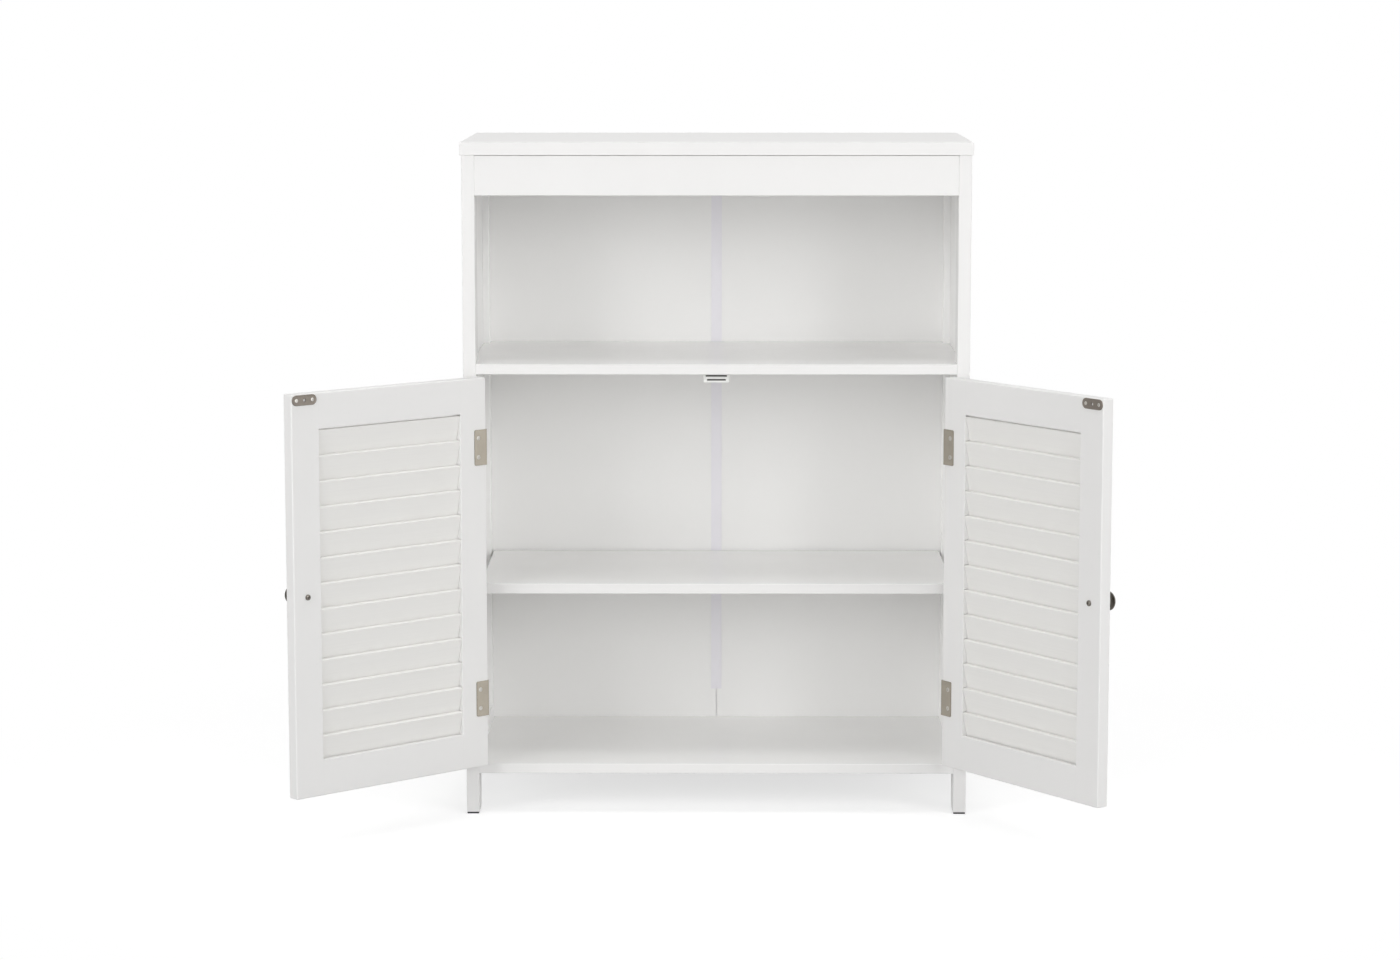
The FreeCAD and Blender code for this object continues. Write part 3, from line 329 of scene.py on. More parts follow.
def stands_for(node, piece, where="carcass", crease=40):
    """Moves the piece to where its body is, and lets it ride there for the CAD node.
    Its shading keeps flats flat, and is broken at edges sharper than crease degrees."""
    mesh, place = piece.data, PLACES[where]
    mesh.transform(place)
    if place.determinant() < 0:
        mesh.flip_normals()
    mesh.shade_smooth()
    mesh.set_sharp_from_angle(angle=radians(crease))
    weighted = piece.modifiers.new("flats", "WEIGHTED_NORMAL")
    weighted.keep_sharp = True
    plain(piece)
    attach(piece, where if where == "carcass" else where + "_door")
    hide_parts(node)


def new_piece(name, shape, material):
    """A linked object from a bmesh."""
    mesh = bpy.data.meshes.new(name)
    shape.to_mesh(mesh)
    shape.free()
    mesh.materials.append(material)
    piece = bpy.data.objects.new(name, mesh)
    bpy.context.scene.collection.objects.link(piece)
    return piece


def bridge(shape, rings, sides):
    """Faces between each ring of corners and the next; a tip is a ring of one corner."""
    for low, high in zip(rings, rings[1:]):
        for step in range(sides):
            after = (step + 1) % sides
            corners = [low[step % len(low)], low[after % len(low)],
                       high[after % len(high)], high[step % len(high)]]
            shape.faces.new(list(dict.fromkeys(corners)))


def turned(outline, spots, sides):
    """Lathe work: radius and height pairs, from tip to tip, turned at each centre and axis."""
    shape = bmesh.new()
    for centre, axis in spots:
        place = Matrix.Translation(centre) @ axis.to_track_quat("Z", "Y").to_matrix().to_4x4()
        rings = []
        for radius, height in outline:
            angles = [2 * pi * step / sides for step in range(sides if radius > 1e-7 else 1)]
            rings.append([
                shape.verts.new(place @ Vector((radius * cos(a), radius * sin(a), height)))
                for a in angles])
        bridge(shape, rings, sides)
    bmesh.ops.recalc_face_normals(shape, faces=shape.faces)
    return shape


def without(piece, cutter):
    """The piece with the cutter's shape taken out of it."""
    tool = new_piece(piece.name + "_cutter", cutter, piece.data.materials[0])
    cut = piece.modifiers.new("cut", "BOOLEAN")
    cut.operation, cut.solver, cut.object = "DIFFERENCE", "EXACT", tool
    plain(piece)
    bpy.data.objects.remove(tool)
    return piece


def screw_places(node, axis_of, where="carcass"):
    """Head centre and outward axis of each screw of a node, and the screws' length."""
    points, length = [], 0.0
    for low, high in solid_boxes(node, where):
        middle = (low + high) / 2
        axis = axis_of(middle)
        length = abs((high - low).dot(axis))
        points.append((middle + axis * length / 2, axis))
    return points, length


def sunk(points, rise):
    """The points moved from the tops of the heads down to their seats."""
    return [(point - axis * rise, axis) for point, axis in points]


def towards_middle(screw):
    """Outward axis of the screws in the two sides."""
    return -X if screw.x > 0 else X


def inwards(screw):
    """Outward axis of the screws in the inner faces of closed doors, and in the back."""
    return Y


def countersinks(points, head, shank):
    """Cutter for countersunk holes with a narrow gap around each screw."""
    hole, mouth = shank + 0.2 * MM, head + 0.3 * MM
    return turned([(0, -1.6 * MM), (hole, -1.6 * MM), (hole, -1.1 * MM),
                   (mouth, 0.02 * MM), (mouth, 0.5 * MM), (0, 0.5 * MM)], points, 32)


# ---- finishes ------------------------------------------------------------------------
def shaded(colour, share):
    """The colour, darker or lighter by a share, as RGBA."""
    return (*(min(1.0, part * share) for part in colour), 1.0)


def satin_paint(name, colour, gloss, shine, shaded_front=None):
    """Sprayed paint: fine orange peel, faint clouding, thinner on the edges.
    shaded_front: depth and colour of a band along the front edge of a board, painted darker than the top: painted
    shade on the front edge, so that the top reads as lit from above."""
    paint = Finish(name)
    cloud = paint.noise(0.09, 3)
    peel = paint.noise(0.0016, 2, 0.45)
    dust = paint.ramp(paint.noise(0.0042, 1), 0.70, 0.78)
    rim = paint.edges(0.0011)
    body = paint.tones(colour, cloud, 0.978, 1.012, (dust, 0.25, 0.94), (rim, 0.35, 0.93))
    # Painted shade on the board's front edge: the band there takes the darker paint, while the rest keeps the
    # lighter board colour as painted light.
    if shaded_front:
        depth = paint.node("SeparateXYZ", None, {0: paint.place}, output=1)
        strip = depth.math("LESS_THAN", depth, shaded_front[0])
        body = paint.blend(strip, body, shaded(shaded_front[1], 1.0))
    return paint.shader(body, gloss * (1.0 + cloud * 0.2) + peel * 0.05, peel + dust * 0.6,
                        0.02, shine)


def brushed_slat_paint(name, colour):
    """Brushed paint on solid slats: streaks along the slat, a trace of open grain, and a painted highlight on the
    slats' edges.
    """
    paint = Finish(name)
    along = paint.node("Attribute", {"attribute_name": "slat_place"}, output=1)
    streaks = paint.noise(0.002, 3, 0.6, along, (0.012, 1.0, 1.0))
    grain = paint.ramp(paint.noise(0.0009, 2, 0.5, along, (0.02, 1.0, 1.0)), 0.60, 0.72)
    cloud = paint.noise(0.05, 2)
    rim = paint.edges(0.0009)
    # Edges lighter by the rim mask: a painted highlight where the slats' edges catch the light.
    body = paint.tones(colour, streaks, 0.97, 1.012, (grain, 0.30, 0.93), (rim, 0.6, 1.08))
    return paint.shader(body, 0.42 + streaks * 0.10 + cloud * 0.06, streaks - grain * 0.5,
                        0.015, 0.42)


def painted_hardboard(name, colour):
    """Rolled paint on hardboard: soft pebbling and a dull sheen."""
    board = Finish(name)
    pebble = board.noise(0.0032, 3, 0.55)
    cloud = board.noise(0.16, 2)
    fibre = board.ramp(board.noise(0.0012, 2), 0.62, 0.75)
    body = board.tones(colour, cloud, 0.975, 1.01, (fibre, 0.25, 0.94))
    return board.shader(body, 0.52 + pebble * 0.12, pebble + fibre * 0.3, 0.04, 0.35)


def extruded_plastic(name, colour):
    """Extruded strip: drawn lines along its length."""
    strip = Finish(name)
    lines = strip.noise(0.0007, 2, 0.6, stretch=(1.0, 1.0, 0.01))
    cloud = strip.noise(0.06, 2)
    body = strip.tones(colour, cloud, 0.97, 1.01, (lines, 0.25, 0.93))
    return strip.shader(body, 0.30 + lines * 0.14, lines, 0.01)


def moulded_plastic(name, colour):
    """Moulded plastic with a spark-eroded skin, and a painted highlight on its edges."""
    skin = Finish(name)
    pores = skin.noise(0.0004, 1)
    cloud = skin.noise(0.02, 2)
    rim = skin.edges(0.0004)
    # Edges lighter by the rim mask: a painted highlight.
    body = skin.tones(colour, cloud, 0.95, 1.02, (rim, 0.3, 1.12))
    return skin.shader(body, 0.42 + pores * 0.15, pores, 0.012)


def sintered_ferrite(name, colour):
    """Ground ceramic magnet: grey grains and grinding lines."""
    block = Finish(name)
    grains = block.noise(0.0003, 2)
    lines = block.noise(0.0005, 2, 0.5, stretch=(0.05, 1.0, 1.0))
    body = block.tones(colour, grains, 0.75, 1.35)
    return block.shader(body, 0.5 + lines * 0.15, lines, 0.01, metallic=0.3)


def plated_steel(name, colour, gloss=0.40, brushed=(1.0, 1.0, 0.04)):
    """Stamped and plated steel: brushing, handling haze, and edges darkened as painted shade.
    brushed: how far the brushing is squeezed along each axis."""
    steel = Finish(name)
    brushing = steel.noise(0.0005, 3, 0.6, stretch=brushed)
    haze = steel.noise(0.009, 3, 0.55)
    specks = steel.ramp(steel.noise(0.0011, 1), 0.68, 0.76)
    rim = steel.edges(0.0009)
    # Edges darkened by the rim mask: painted shade, the dark outline round a leaf or plate.
    body = steel.tones(colour, haze, 0.86, 1.10,
                       (brushing, 0.35, 0.82), (specks, 0.3, 0.66), (rim, 0.9, 0.42))
    return steel.shader(body, gloss + brushing * 0.12 + haze * 0.10, brushing, 0.008,
                        metallic=1.0)


def zinc_steel(name, colour):
    """Zinc-plated fastener: bright, with spangle, and a painted highlight on its edges."""
    steel = Finish(name)
    spangle = steel.cells(0.0009)
    haze = steel.noise(0.003, 2)
    rim = steel.edges(0.0003)
    # Edges lighter by the rim mask: a painted highlight on the heads.
    body = steel.tones(colour, haze, 0.80, 1.15, (rim, 0.4, 1.3))
    return steel.shader(body, 0.22 + spangle * 0.12 + haze * 0.1, haze, 0.006, metallic=1.0)


def cast_zinc(name, colour):
    """Die-cast zinc: dull grey skin with flow marks, and a painted highlight on its edges."""
    cast = Finish(name)
    flow = cast.noise(0.0035, 4, 0.65)
    pits = cast.ramp(cast.noise(0.0006, 1), 0.66, 0.76)
    rim = cast.edges(0.0004)
    # Edges lighter by the rim mask: a painted highlight.
    body = cast.tones(colour, flow, 0.78, 1.10, (pits, 0.5, 0.55), (rim, 0.4, 1.25))
    return cast.shader(body, 0.40 + flow * 0.15, flow - pits * 0.5, 0.02, metallic=1.0)


def dark_nickel(name, colour):
    """Dark plated knob: turned lines under lacquer, and a painted highlight on its edges."""
    knob = Finish(name)
    lines = knob.noise(0.0004, 2, 0.6, stretch=(1.0, 1.0, 0.3))
    haze = knob.noise(0.006, 3)
    rim = knob.edges(0.0006)
    # Edges lighter by the rim mask: a painted highlight on the knob's rims and foot.
    body = knob.tones(colour, haze, 0.75, 1.2, (rim, 0.5, 1.9))
    return knob.shader(body, 0.20 + lines * 0.08 + haze * 0.08, lines, 0.004, metallic=1.0,
                       coat_weight=0.4, coat_roughness=0.08)


def bare_beech(name, colour):
    """Turned beech: flecked, with lines along the dowel."""
    wood = Finish(name)
    flecks = wood.ramp(wood.cells(0.0012), 0.0, 0.5)
    growth = wood.noise(0.004, 3, stretch=(0.3, 1.0, 1.0))
    body = wood.tones(colour, growth, 0.85, 1.12, (1.0 - flecks, 0.4, 0.62))
    return wood.shader(body, 0.62 + growth * 0.1, growth, 0.05)


# ---- properties ----------------------------------------------------------------------
def colour_of(name, text, default):
    return FloatVectorProperty(name=name, description=text, default=default, size=3,
                               min=0.0, max=1.0, subtype="COLOR")


def length_of(name, text, default):
    return FloatProperty(name=name, description=text, default=default, min=0.0,
                         precision=5, subtype="DISTANCE", unit="LENGTH")


def power_of(name, text, default):
    return FloatProperty(name=name, description=text, default=default, min=0.0,
                         subtype="POWER", unit="POWER")


class CabinetColours(bpy.types.PropertyGroup):
    paint: colour_of("Paint", "Satin paint of posts, apron and door frames",
                     (0.845, 0.839, 0.830))
    # Lighter than the paint of the posts: painted light on the tops of the shelves and the bottom.
    board: colour_of("Boards", "Satin paint of the shelves and the bottom",
                     (0.968, 0.964, 0.955))
    # Lighter than the paint of the posts though the same white: painted light inside the cabinet, on the side
    # panels, their rails and the back posts.
    panel: colour_of("Sides", "Satin paint of side panels, their rails and the back posts",
                     (0.975, 0.971, 0.962))
    slats: colour_of("Slats", "Paint of the louvre slats", (0.868, 0.860, 0.838))
    # Lighter than the paint of the posts: painted light on the back panel inside the cabinet.
    back: colour_of("Back", "Paint of the back panel", (0.975, 0.971, 0.960))
    strip: colour_of("Joint strip", "Plastic strip down the back", (0.925, 0.91, 0.955))
    catch: colour_of("Catch", "Housing of the magnetic catch", (0.86, 0.86, 0.84))
    magnet: colour_of("Magnet", "Ferrite of the catch", (0.09, 0.09, 0.095))
    hinge: colour_of("Hinges", "Plating of the hinges", (0.41, 0.375, 0.318))
    strike: colour_of("Strike plates", "Plating of the strike plates", (0.21, 0.187, 0.163))
    screw: colour_of("Screws", "Zinc plating of screws, nails and pins",
                     (0.62, 0.60, 0.57))
    # Near black: the plates' own dark steel with painted shade, for the dark lines that shadow draws along the
    # catch.
    pole: colour_of("Pole plates", "Bare steel of the catch's pole plates",
                    (0.045, 0.044, 0.042))
    cam: colour_of("Cams", "Die-cast zinc of the cam locks", (0.55, 0.55, 0.56))
    knob: colour_of("Knobs", "Dark plating of the knobs", (0.17, 0.155, 0.135))
    glide: colour_of("Glides", "Plastic under the legs", (0.022, 0.022, 0.024))
    beech: colour_of("Dowels", "Bare beech of the dowels", (0.60, 0.44, 0.28))


class CabinetSizes(bpy.types.PropertyGroup):
    slat_thickness: length_of("Slat thickness", "Across a slat", 5.5 * MM)
    slat_chord: length_of("Slat chord", "Height of a slat along its slope", 34 * MM)
    slat_edge: length_of("Slat edge radius", "Rounding of a slat's edges", 1.2 * MM)
    slat_tilt: FloatProperty(name="Slat tilt", description="Slope from upright",
                             default=radians(13), subtype="ANGLE", unit="ROTATION")
    slat_play: FloatProperty(name="Slat play", description="Largest chance difference in slope",
                             default=radians(0.25), subtype="ANGLE", unit="ROTATION")
    screw_head: length_of("Hinge screw head", "Radius of the hinge screws' heads", 2.7 * MM)
    small_screw_head: length_of("Small screw head", "Radius of strike and catch screw heads",
                                2.1 * MM)
    knob_screw_head: length_of("Knob screw head", "Radius of the knob screws' heads", 3.4 * MM)
    knob_screw_rise: length_of("Knob screw rise", "Height of the knob screws' heads", 2.2 * MM)
    hinge_height: length_of("Hinge height", "Height of a hinge leaf", 42 * MM)
    hinge_flap: length_of("Hinge flap", "Width of a leaf on the door's inner face", 17.5 * MM)
    hinge_gauge: length_of("Hinge gauge", "Thickness of the hinge leaves", 1.2 * MM)
    cam_radius: length_of("Cam radius", "Radius of the cam locks", 7.5 * MM)
    glide_edge: length_of("Glide edge radius", "Rounding of the glides' edges", 0.5 * MM)
    knob_radius: length_of("Knob radius", "Widest radius of a knob", 11 * MM)
    knob_height: length_of("Knob height", "From the door to the top of a knob", 20 * MM)
    fitting_sides: IntProperty(name="Fitting sides", description="Facets around a fitting",
                               default=36, min=12, max=96)


class CabinetStudio(bpy.types.PropertyGroup):
    lens: FloatProperty(name="Lens", description="Focal length of the camera", default=91.20,
                        min=1.0, subtype="DISTANCE_CAMERA", unit="CAMERA")
    front: power_of("Front lights", "Power of each of the two lights in front", 19.0)
    near: power_of("Near lights", "Power of each of the two small lights close by", 18.5)
    side: power_of("Side lights", "Power of each of the two lights at the sides", 35.0)
    overhead: power_of("Overhead light", "Power of the light above", 58.0)
    rear: power_of("Rear light", "Power of the low light behind", 45.0)
    sky: FloatProperty(name="Room light", description="Strength of the light all round",
                       default=0.12, min=0.0, subtype="FACTOR")
    floor: colour_of("Floor", "Floor around the cabinet", (0.58, 0.58, 0.58))
    floor_lift: FloatProperty(name="Floor lift",
                              description="Glow of the floor towards the viewer",
                              default=0.59, min=0.0, max=1.0, subtype="FACTOR")


# ---- operators -----------------------------------------------------------------------
FINISHES = {}
BOARDS = ("middle_shelf", "adjustable_shelf", "bottom_panel")
# Nodes that take another finish than their slot's: lighter copies of the white paint as painted light on the
# boards and inner sides, and the pole plates' steel darkened with painted shade.
OWN_FINISH = {
    **{board: board for board in BOARDS},
    **{part + side: "panel_paint" for side in SIDES
       for part in ("side_panel_", "back_post_", "side_top_rail_", "side_bottom_rail_")},
    "catch_pole_plates": "pole_steel",
}


class CABINET_OT_finishes(bpy.types.Operator):
    """Make every finish of the cabinet"""
    bl_idname = "cabinet.finishes"
    bl_label = "Finishes"

    def execute(self, context):
        colours = context.scene.cabinet_colours
        FINISHES.update(
            white_paint=satin_paint("white_satin_paint", colours.paint, 0.40, 0.35),
            **{board: self.with_shaded_front(board, colours) for board in BOARDS},
            # A lighter copy of the white paint: painted light inside the cabinet.
            panel_paint=satin_paint("white_panel_paint", colours.panel, 0.30, 0.5),
            slat_paint=brushed_slat_paint("slat_brushed_paint", colours.slats),
            # The back's lighter colour is painted light inside the cabinet.
            back_board=painted_hardboard("back_painted_hardboard", colours.back),
            strip_plastic=extruded_plastic("joint_strip_plastic", colours.strip),
            catch_plastic=moulded_plastic("catch_moulded_plastic", colours.catch),
            glide_plastic=moulded_plastic("glide_black_plastic", colours.glide),
            magnet_ferrite=sintered_ferrite("magnet_ferrite_block", colours.magnet),
            hinge_steel=plated_steel("hinge_plated_steel", colours.hinge),
            strike_steel=plated_steel("strike_plated_steel", colours.strike),
            fastener_steel=zinc_steel("fastener_zinc_steel", colours.screw),
            # Near-black steel: the plates' own colour darkened with painted shade.
            pole_steel=plated_steel("pole_plate_steel", colours.pole, 0.42,
                                    (0.04, 1.0, 1.0)),
            cam_zinc=cast_zinc("cam_die_cast_zinc", colours.cam),
            knob_metal=dark_nickel("knob_dark_nickel", colours.knob),
            dowel_beech=bare_beech("dowel_bare_beech", colours.beech),
        )
        return {"FINISHED"}

    @staticmethod
    def with_shaded_front(board, colours):
        """Paint of a shelf or of the bottom: the top in the lighter board colour as painted light, the front edge
        in the darker paint as painted shade.
        """
        front = min(corner.co.y for corner in frame["nodes"][board].data.vertices)
        return satin_paint(board + "_paint", colours.board, 0.14, 0.6,
                           (front + 0.4 * MM, colours.paint))


class CABINET_OT_boards(bpy.types.Operator):
    """Give boards, posts, rails, panels and the hidden joinery their finish"""
    bl_idname = "cabinet.boards"
    bl_label = "Boards and joinery"

    def execute(self, context):
        for part in frame["record"]["subparts"]:
            finish = OWN_FINISH.get(part["node"], part["material_slot"])
            for slot in frame["nodes"][part["node"]].material_slots:
                slot.material = FINISHES[finish]
        return {"FINISHED"}


class CABINET_OT_louvres(bpy.types.Operator):
    """Set thirteen tilted slats into each door"""
    bl_idname = "cabinet.louvres"
    bl_label = "Louvre slats"

    @staticmethod
    def tree():
        slats = Fitting("louvre_slats", {
            "Length": 200 * MM, "Chord": 34 * MM, "Thickness": 5.5 * MM,
            "Edge radius": 1.2 * MM, "Tilt": radians(13), "Play": radians(0.25),
            "Pitch": 30 * MM, "Count": 13, "First centre": Vector((0, 0, 0)), "Seed": 3})
        section = slats.node("CurvePrimitiveQuadrilateral", None, {
            "Width": slats.input("Thickness"), "Height": slats.input("Chord")})
        section = slats.node("FilletCurve", {"mode": "POLY"}, {
            "Curve": section, "Count": 6, "Radius": slats.input("Edge radius")})
        half = slats.input("Length") * 0.5
        run = slats.node("CurvePrimitiveLine", None, {
            "Start": slats.xyz(-half), "End": slats.xyz(half)})
        slat = slats.node("CurveToMesh", None, {
            "Curve": run, "Profile Curve": section, "Fill Caps": True})
        levels = slats.node("MeshLine", None, {
            "Count": slats.input("Count"), "Start Location": slats.input("First centre"),
            "Offset": slats.xyz(z=-slats.input("Pitch"))})
        play = slats.chance(-slats.input("Play"), slats.input("Play"))
        slope = slats.node("EulerToRotation", None, {
            0: slats.xyz(x=play - slats.input("Tilt"))})
        row = slats.node("InstanceOnPoints", None, {
            "Points": levels, "Instance": slat, "Rotation": slope})
        row = slats.node("RealizeInstances", None, {"Geometry": row})
        where = slats.node("InputPosition")
        row = slats.node("StoreNamedAttribute", {"data_type": "FLOAT_VECTOR", "domain": "POINT"},
                         {"Geometry": row, "Name": "slat_place", "Value": where})
        return slats.close(row)

    def execute(self, context):
        sizes = context.scene.cabinet_sizes
        tree = self.tree()
        for number, side in enumerate(SIDES):
            node = "louvre_slats_" + side
            boxes = solid_boxes(node, side)
            centres = sorted(((low + high) / 2 for low, high in boxes), key=lambda c: -c.z)
            if len(centres) < 2:
                raise RuntimeError(node + " has no row of slats")
            low, high = boxes[0]
            piece = drawn(side + "_door_slats", tree, {
                "Length": high.x - low.x, "Chord": sizes.slat_chord,
                "Thickness": sizes.slat_thickness, "Edge radius": sizes.slat_edge,
                "Tilt": sizes.slat_tilt, "Play": sizes.slat_play,
                "Pitch": (centres[0].z - centres[-1].z) / (len(centres) - 1),
                "Count": len(centres), "First centre": centres[0], "Seed": 3 + number,
                "Material": FINISHES["slat_paint"]})
            stands_for(node, piece, side, 35)
        return {"FINISHED"}


class CABINET_OT_hinges(bpy.types.Operator):
    """Fold and roll the hinge leaves, and set their pins"""
    bl_idname = "cabinet.hinges"
    bl_label = "Hinges"

    # Lengths as seen from above, from the axis of a pin, with the doors closed.
    ASIDE = 0.9 * MM                # middle of each leaf, to its side of the pin
    ROLL_RADIUS = 2.4 * MM
    ROLL_TURN = radians(258)
    ROLL_LIFT = 0.8 * MM            # behind the pin, where the roll has its full radius
    ROLL_ROOT = 3.6 * MM            # behind the pin, where a leaf stops being flat
    TONGUE_GAP = 0.15 * MM          # at each end of a tongue
    POST_LEAF_END = 23.0 * MM
    FLAP_DEPTH = 18.6 * MM          # behind the pin, on the door's inner face
    FOLD_RADIUS = 1.1 * MM          # from the door's edge to its inner face
    FLAP_START = 1.5 * MM           # from the pin to where the flap's width counts
    CORNER = 2.0 * MM
    # Radius and height, in millimetres, of a pin's lower end, from the leaves' ends.
    PIN_END = ((0, -0.6), (1.2, -0.58), (1.7, -0.42), (1.9, -0.16), (1.9, -0.02), (1.25, 0.0))

    def plate_end(self, end, point):
        """Columns of a plate's end with rounded corners: point of a column, and its inset."""
        turns = [step / 5 * pi / 2 for step in range(6)]
        return [(point(end - self.CORNER * (1 - cos(a))), self.CORNER * (1 - sin(a)))
                for a in turns]

    def roll(self, side):
        """Columns from the flat of a leaf to the end of its roll around the pin."""
        columns = []
        for step in range(1, 6):
            ease = step / 5
            swell = ease * ease * (3 - 2 * ease)
            columns.append(((side * (self.ASIDE + (self.ROLL_RADIUS - self.ASIDE) * swell),
                             self.ROLL_ROOT * (1 - ease) + self.ROLL_LIFT * ease), 0.0))
        for step in range(18):
            turn = self.ROLL_TURN * step / 17
            columns.append(((side * self.ROLL_RADIUS * cos(turn),
                             -self.ROLL_RADIUS * sin(turn)), 0.0))
        return columns

    def leaf(self, shape, columns, plate, levels, tongues, place):
        """Middle face of one leaf; past its plate only the tongue rows go on."""
        low, high = levels[0], levels[-1]
        lines = [[shape.verts.new(place @ Vector(
            (*point, min(max(level, low + inset), high - inset)))) for level in levels]
            for point, inset in columns]
        for number, (near, far) in enumerate(zip(lines, lines[1:])):
            for row in range(len(levels) - 1):
                if number < plate or row in tongues:
                    shape.faces.new((near[row], near[row + 1], far[row + 1], far[row]))

    def sheet(self, name, shape, where, node, screws, sizes):
        """Gives leaves their gauge, eased edges and screw holes."""
        loose = [corner for corner in shape.verts if not corner.link_faces]
        bmesh.ops.delete(shape, geom=loose, context="VERTS")
        piece = new_piece(name, shape, FINISHES["hinge_steel"])
        gauge = piece.modifiers.new("gauge", "SOLIDIFY")
        gauge.thickness, gauge.offset, gauge.use_even_offset = sizes.hinge_gauge, 0.0, True
        ease = piece.modifiers.new("ease", "BEVEL")
        ease.width, ease.segments, ease.angle_limit = 0.18 * MM, 2, radians(50)
        without(plain(piece), countersinks(screws, sizes.screw_head, 1.5 * MM))
        stands_for(node, piece, where)

    def execute(self, context):
        sizes = context.scene.cabinet_sizes
        half = sizes.hinge_height / 2
        knuckle = sizes.hinge_height / 6
        pins = [(low + high) / 2 for low, high in solid_boxes("hinge_pins")]
        outer, inner = knuckle + self.TONGUE_GAP, knuckle - self.TONGUE_GAP

        post_leaf = self.plate_end(self.POST_LEAF_END, lambda v: (-self.ASIDE, v))
        post_leaf += [((-self.ASIDE, v), 0.0) for v in (12 * MM, self.ROLL_ROOT)]
        root = len(post_leaf) - 1
        post_leaf += self.roll(-1)
        shape = bmesh.new()
        for pin in pins:
            place = Matrix.Translation(pin) @ Matrix.Scale(-1 if pin.x > 0 else 1, 4, X)
            self.leaf(shape, post_leaf, root, (-half, -outer, outer, half), (0, 2), place)
        points, _ = screw_places("hinge_frame_screws", towards_middle)
        self.sheet("post_hinge_leaves", shape, "carcass", "hinge_frame_leaves", points, sizes)

        door_leaf = self.plate_end(self.FLAP_START + sizes.hinge_flap,
                                   lambda u: (u, self.FLAP_DEPTH))
        door_leaf += [((10 * MM, self.FLAP_DEPTH), 0.0)]
        for step in range(7):
            turn = step / 6 * pi / 2
            door_leaf.append(((self.ASIDE + self.FOLD_RADIUS * (1 - sin(turn)),
                               self.FLAP_DEPTH - self.FOLD_RADIUS * (1 - cos(turn))), 0.0))
        door_leaf += [((self.ASIDE, v), 0.0) for v in (10 * MM, self.ROLL_ROOT)]
        root = len(door_leaf) - 1
        door_leaf += self.roll(1)
        for side in SIDES:
            shape = bmesh.new()
            for pin in pins:
                if pin.x < 0:
                    self.leaf(shape, door_leaf, root, (-half, -inner, inner, half), (1,),
                              Matrix.Translation(pin))
            points, _ = screw_places("hinge_door_screws_" + side, inwards, side)
            self.sheet(side + "_door_hinge_leaves", shape, side, "hinge_door_leaves_" + side,
                       points, sizes)

        outline = [(radius * MM, height * MM - half) for radius, height in self.PIN_END]
        outline += [(radius, -height) for radius, height in reversed(outline)]
        shape = turned(outline, [(pin, Z) for pin in pins], 32)
        piece = new_piece("turned_hinge_pins", shape, FINISHES["hinge_steel"])
        stands_for("hinge_pins", piece)
        return {"FINISHED"}


class CABINET_OT_strikes(bpy.types.Operator):
    """Press the strike plates that meet the magnetic catch"""
    bl_idname = "cabinet.strikes"
    bl_label = "Strike plates"

    # Inset and height of the plate's skin, from its edge to its flat, in millimetres.
    PROFILE = ((0.0, 0.0), (0.0, 0.85), (0.12, 1.08), (0.40, 1.20), (0.95, 1.20),
               (1.25, 1.08), (1.50, 1.02))
    FACETS = 48                     # around its two ends
    HOLE = 1.6 * MM                 # radius of the empty hole in the middle

    def execute(self, context):
        sizes = context.scene.cabinet_sizes
        for side in SIDES:
            node = "strike_plate_" + side
            low, high = solid_boxes(node, side)[0]
            middle = (low + high) / 2
            radius = (high.z - low.z) / 2
            half = (high.x - low.x) / 2 - radius
            shape = bmesh.new()
            rings = []
            for inset, height in self.PROFILE:
                ring = []
                for step in range(self.FACETS):
                    turn = 2 * pi * (step + 0.5) / self.FACETS
                    end = half if cos(turn) > 0 else -half
                    ring.append(shape.verts.new((
                        middle.x + end + (radius - inset * MM) * cos(turn), low.y + height * MM,
                        middle.z + (radius - inset * MM) * sin(turn))))
                rings.append(ring)
            bridge(shape, rings, self.FACETS)
            shape.faces.new(rings[0])
            shape.faces.new(rings[-1])
            bmesh.ops.recalc_face_normals(shape, faces=shape.faces)
            piece = new_piece(side + "_door_strike", shape, FINISHES["strike_steel"])
            points, _ = screw_places("strike_screws_" + side, inwards, side)
            without(piece, countersinks(points, sizes.small_screw_head, 1.2 * MM))
            hole = turned([(0, -2 * MM), (self.HOLE, -2 * MM), (self.HOLE, 1 * MM), (0, 1 * MM)],
                          [(Vector((middle.x, high.y, middle.z)), Y)], 32)
            without(piece, hole)
            stands_for(node, piece, side)
        return {"FINISHED"}


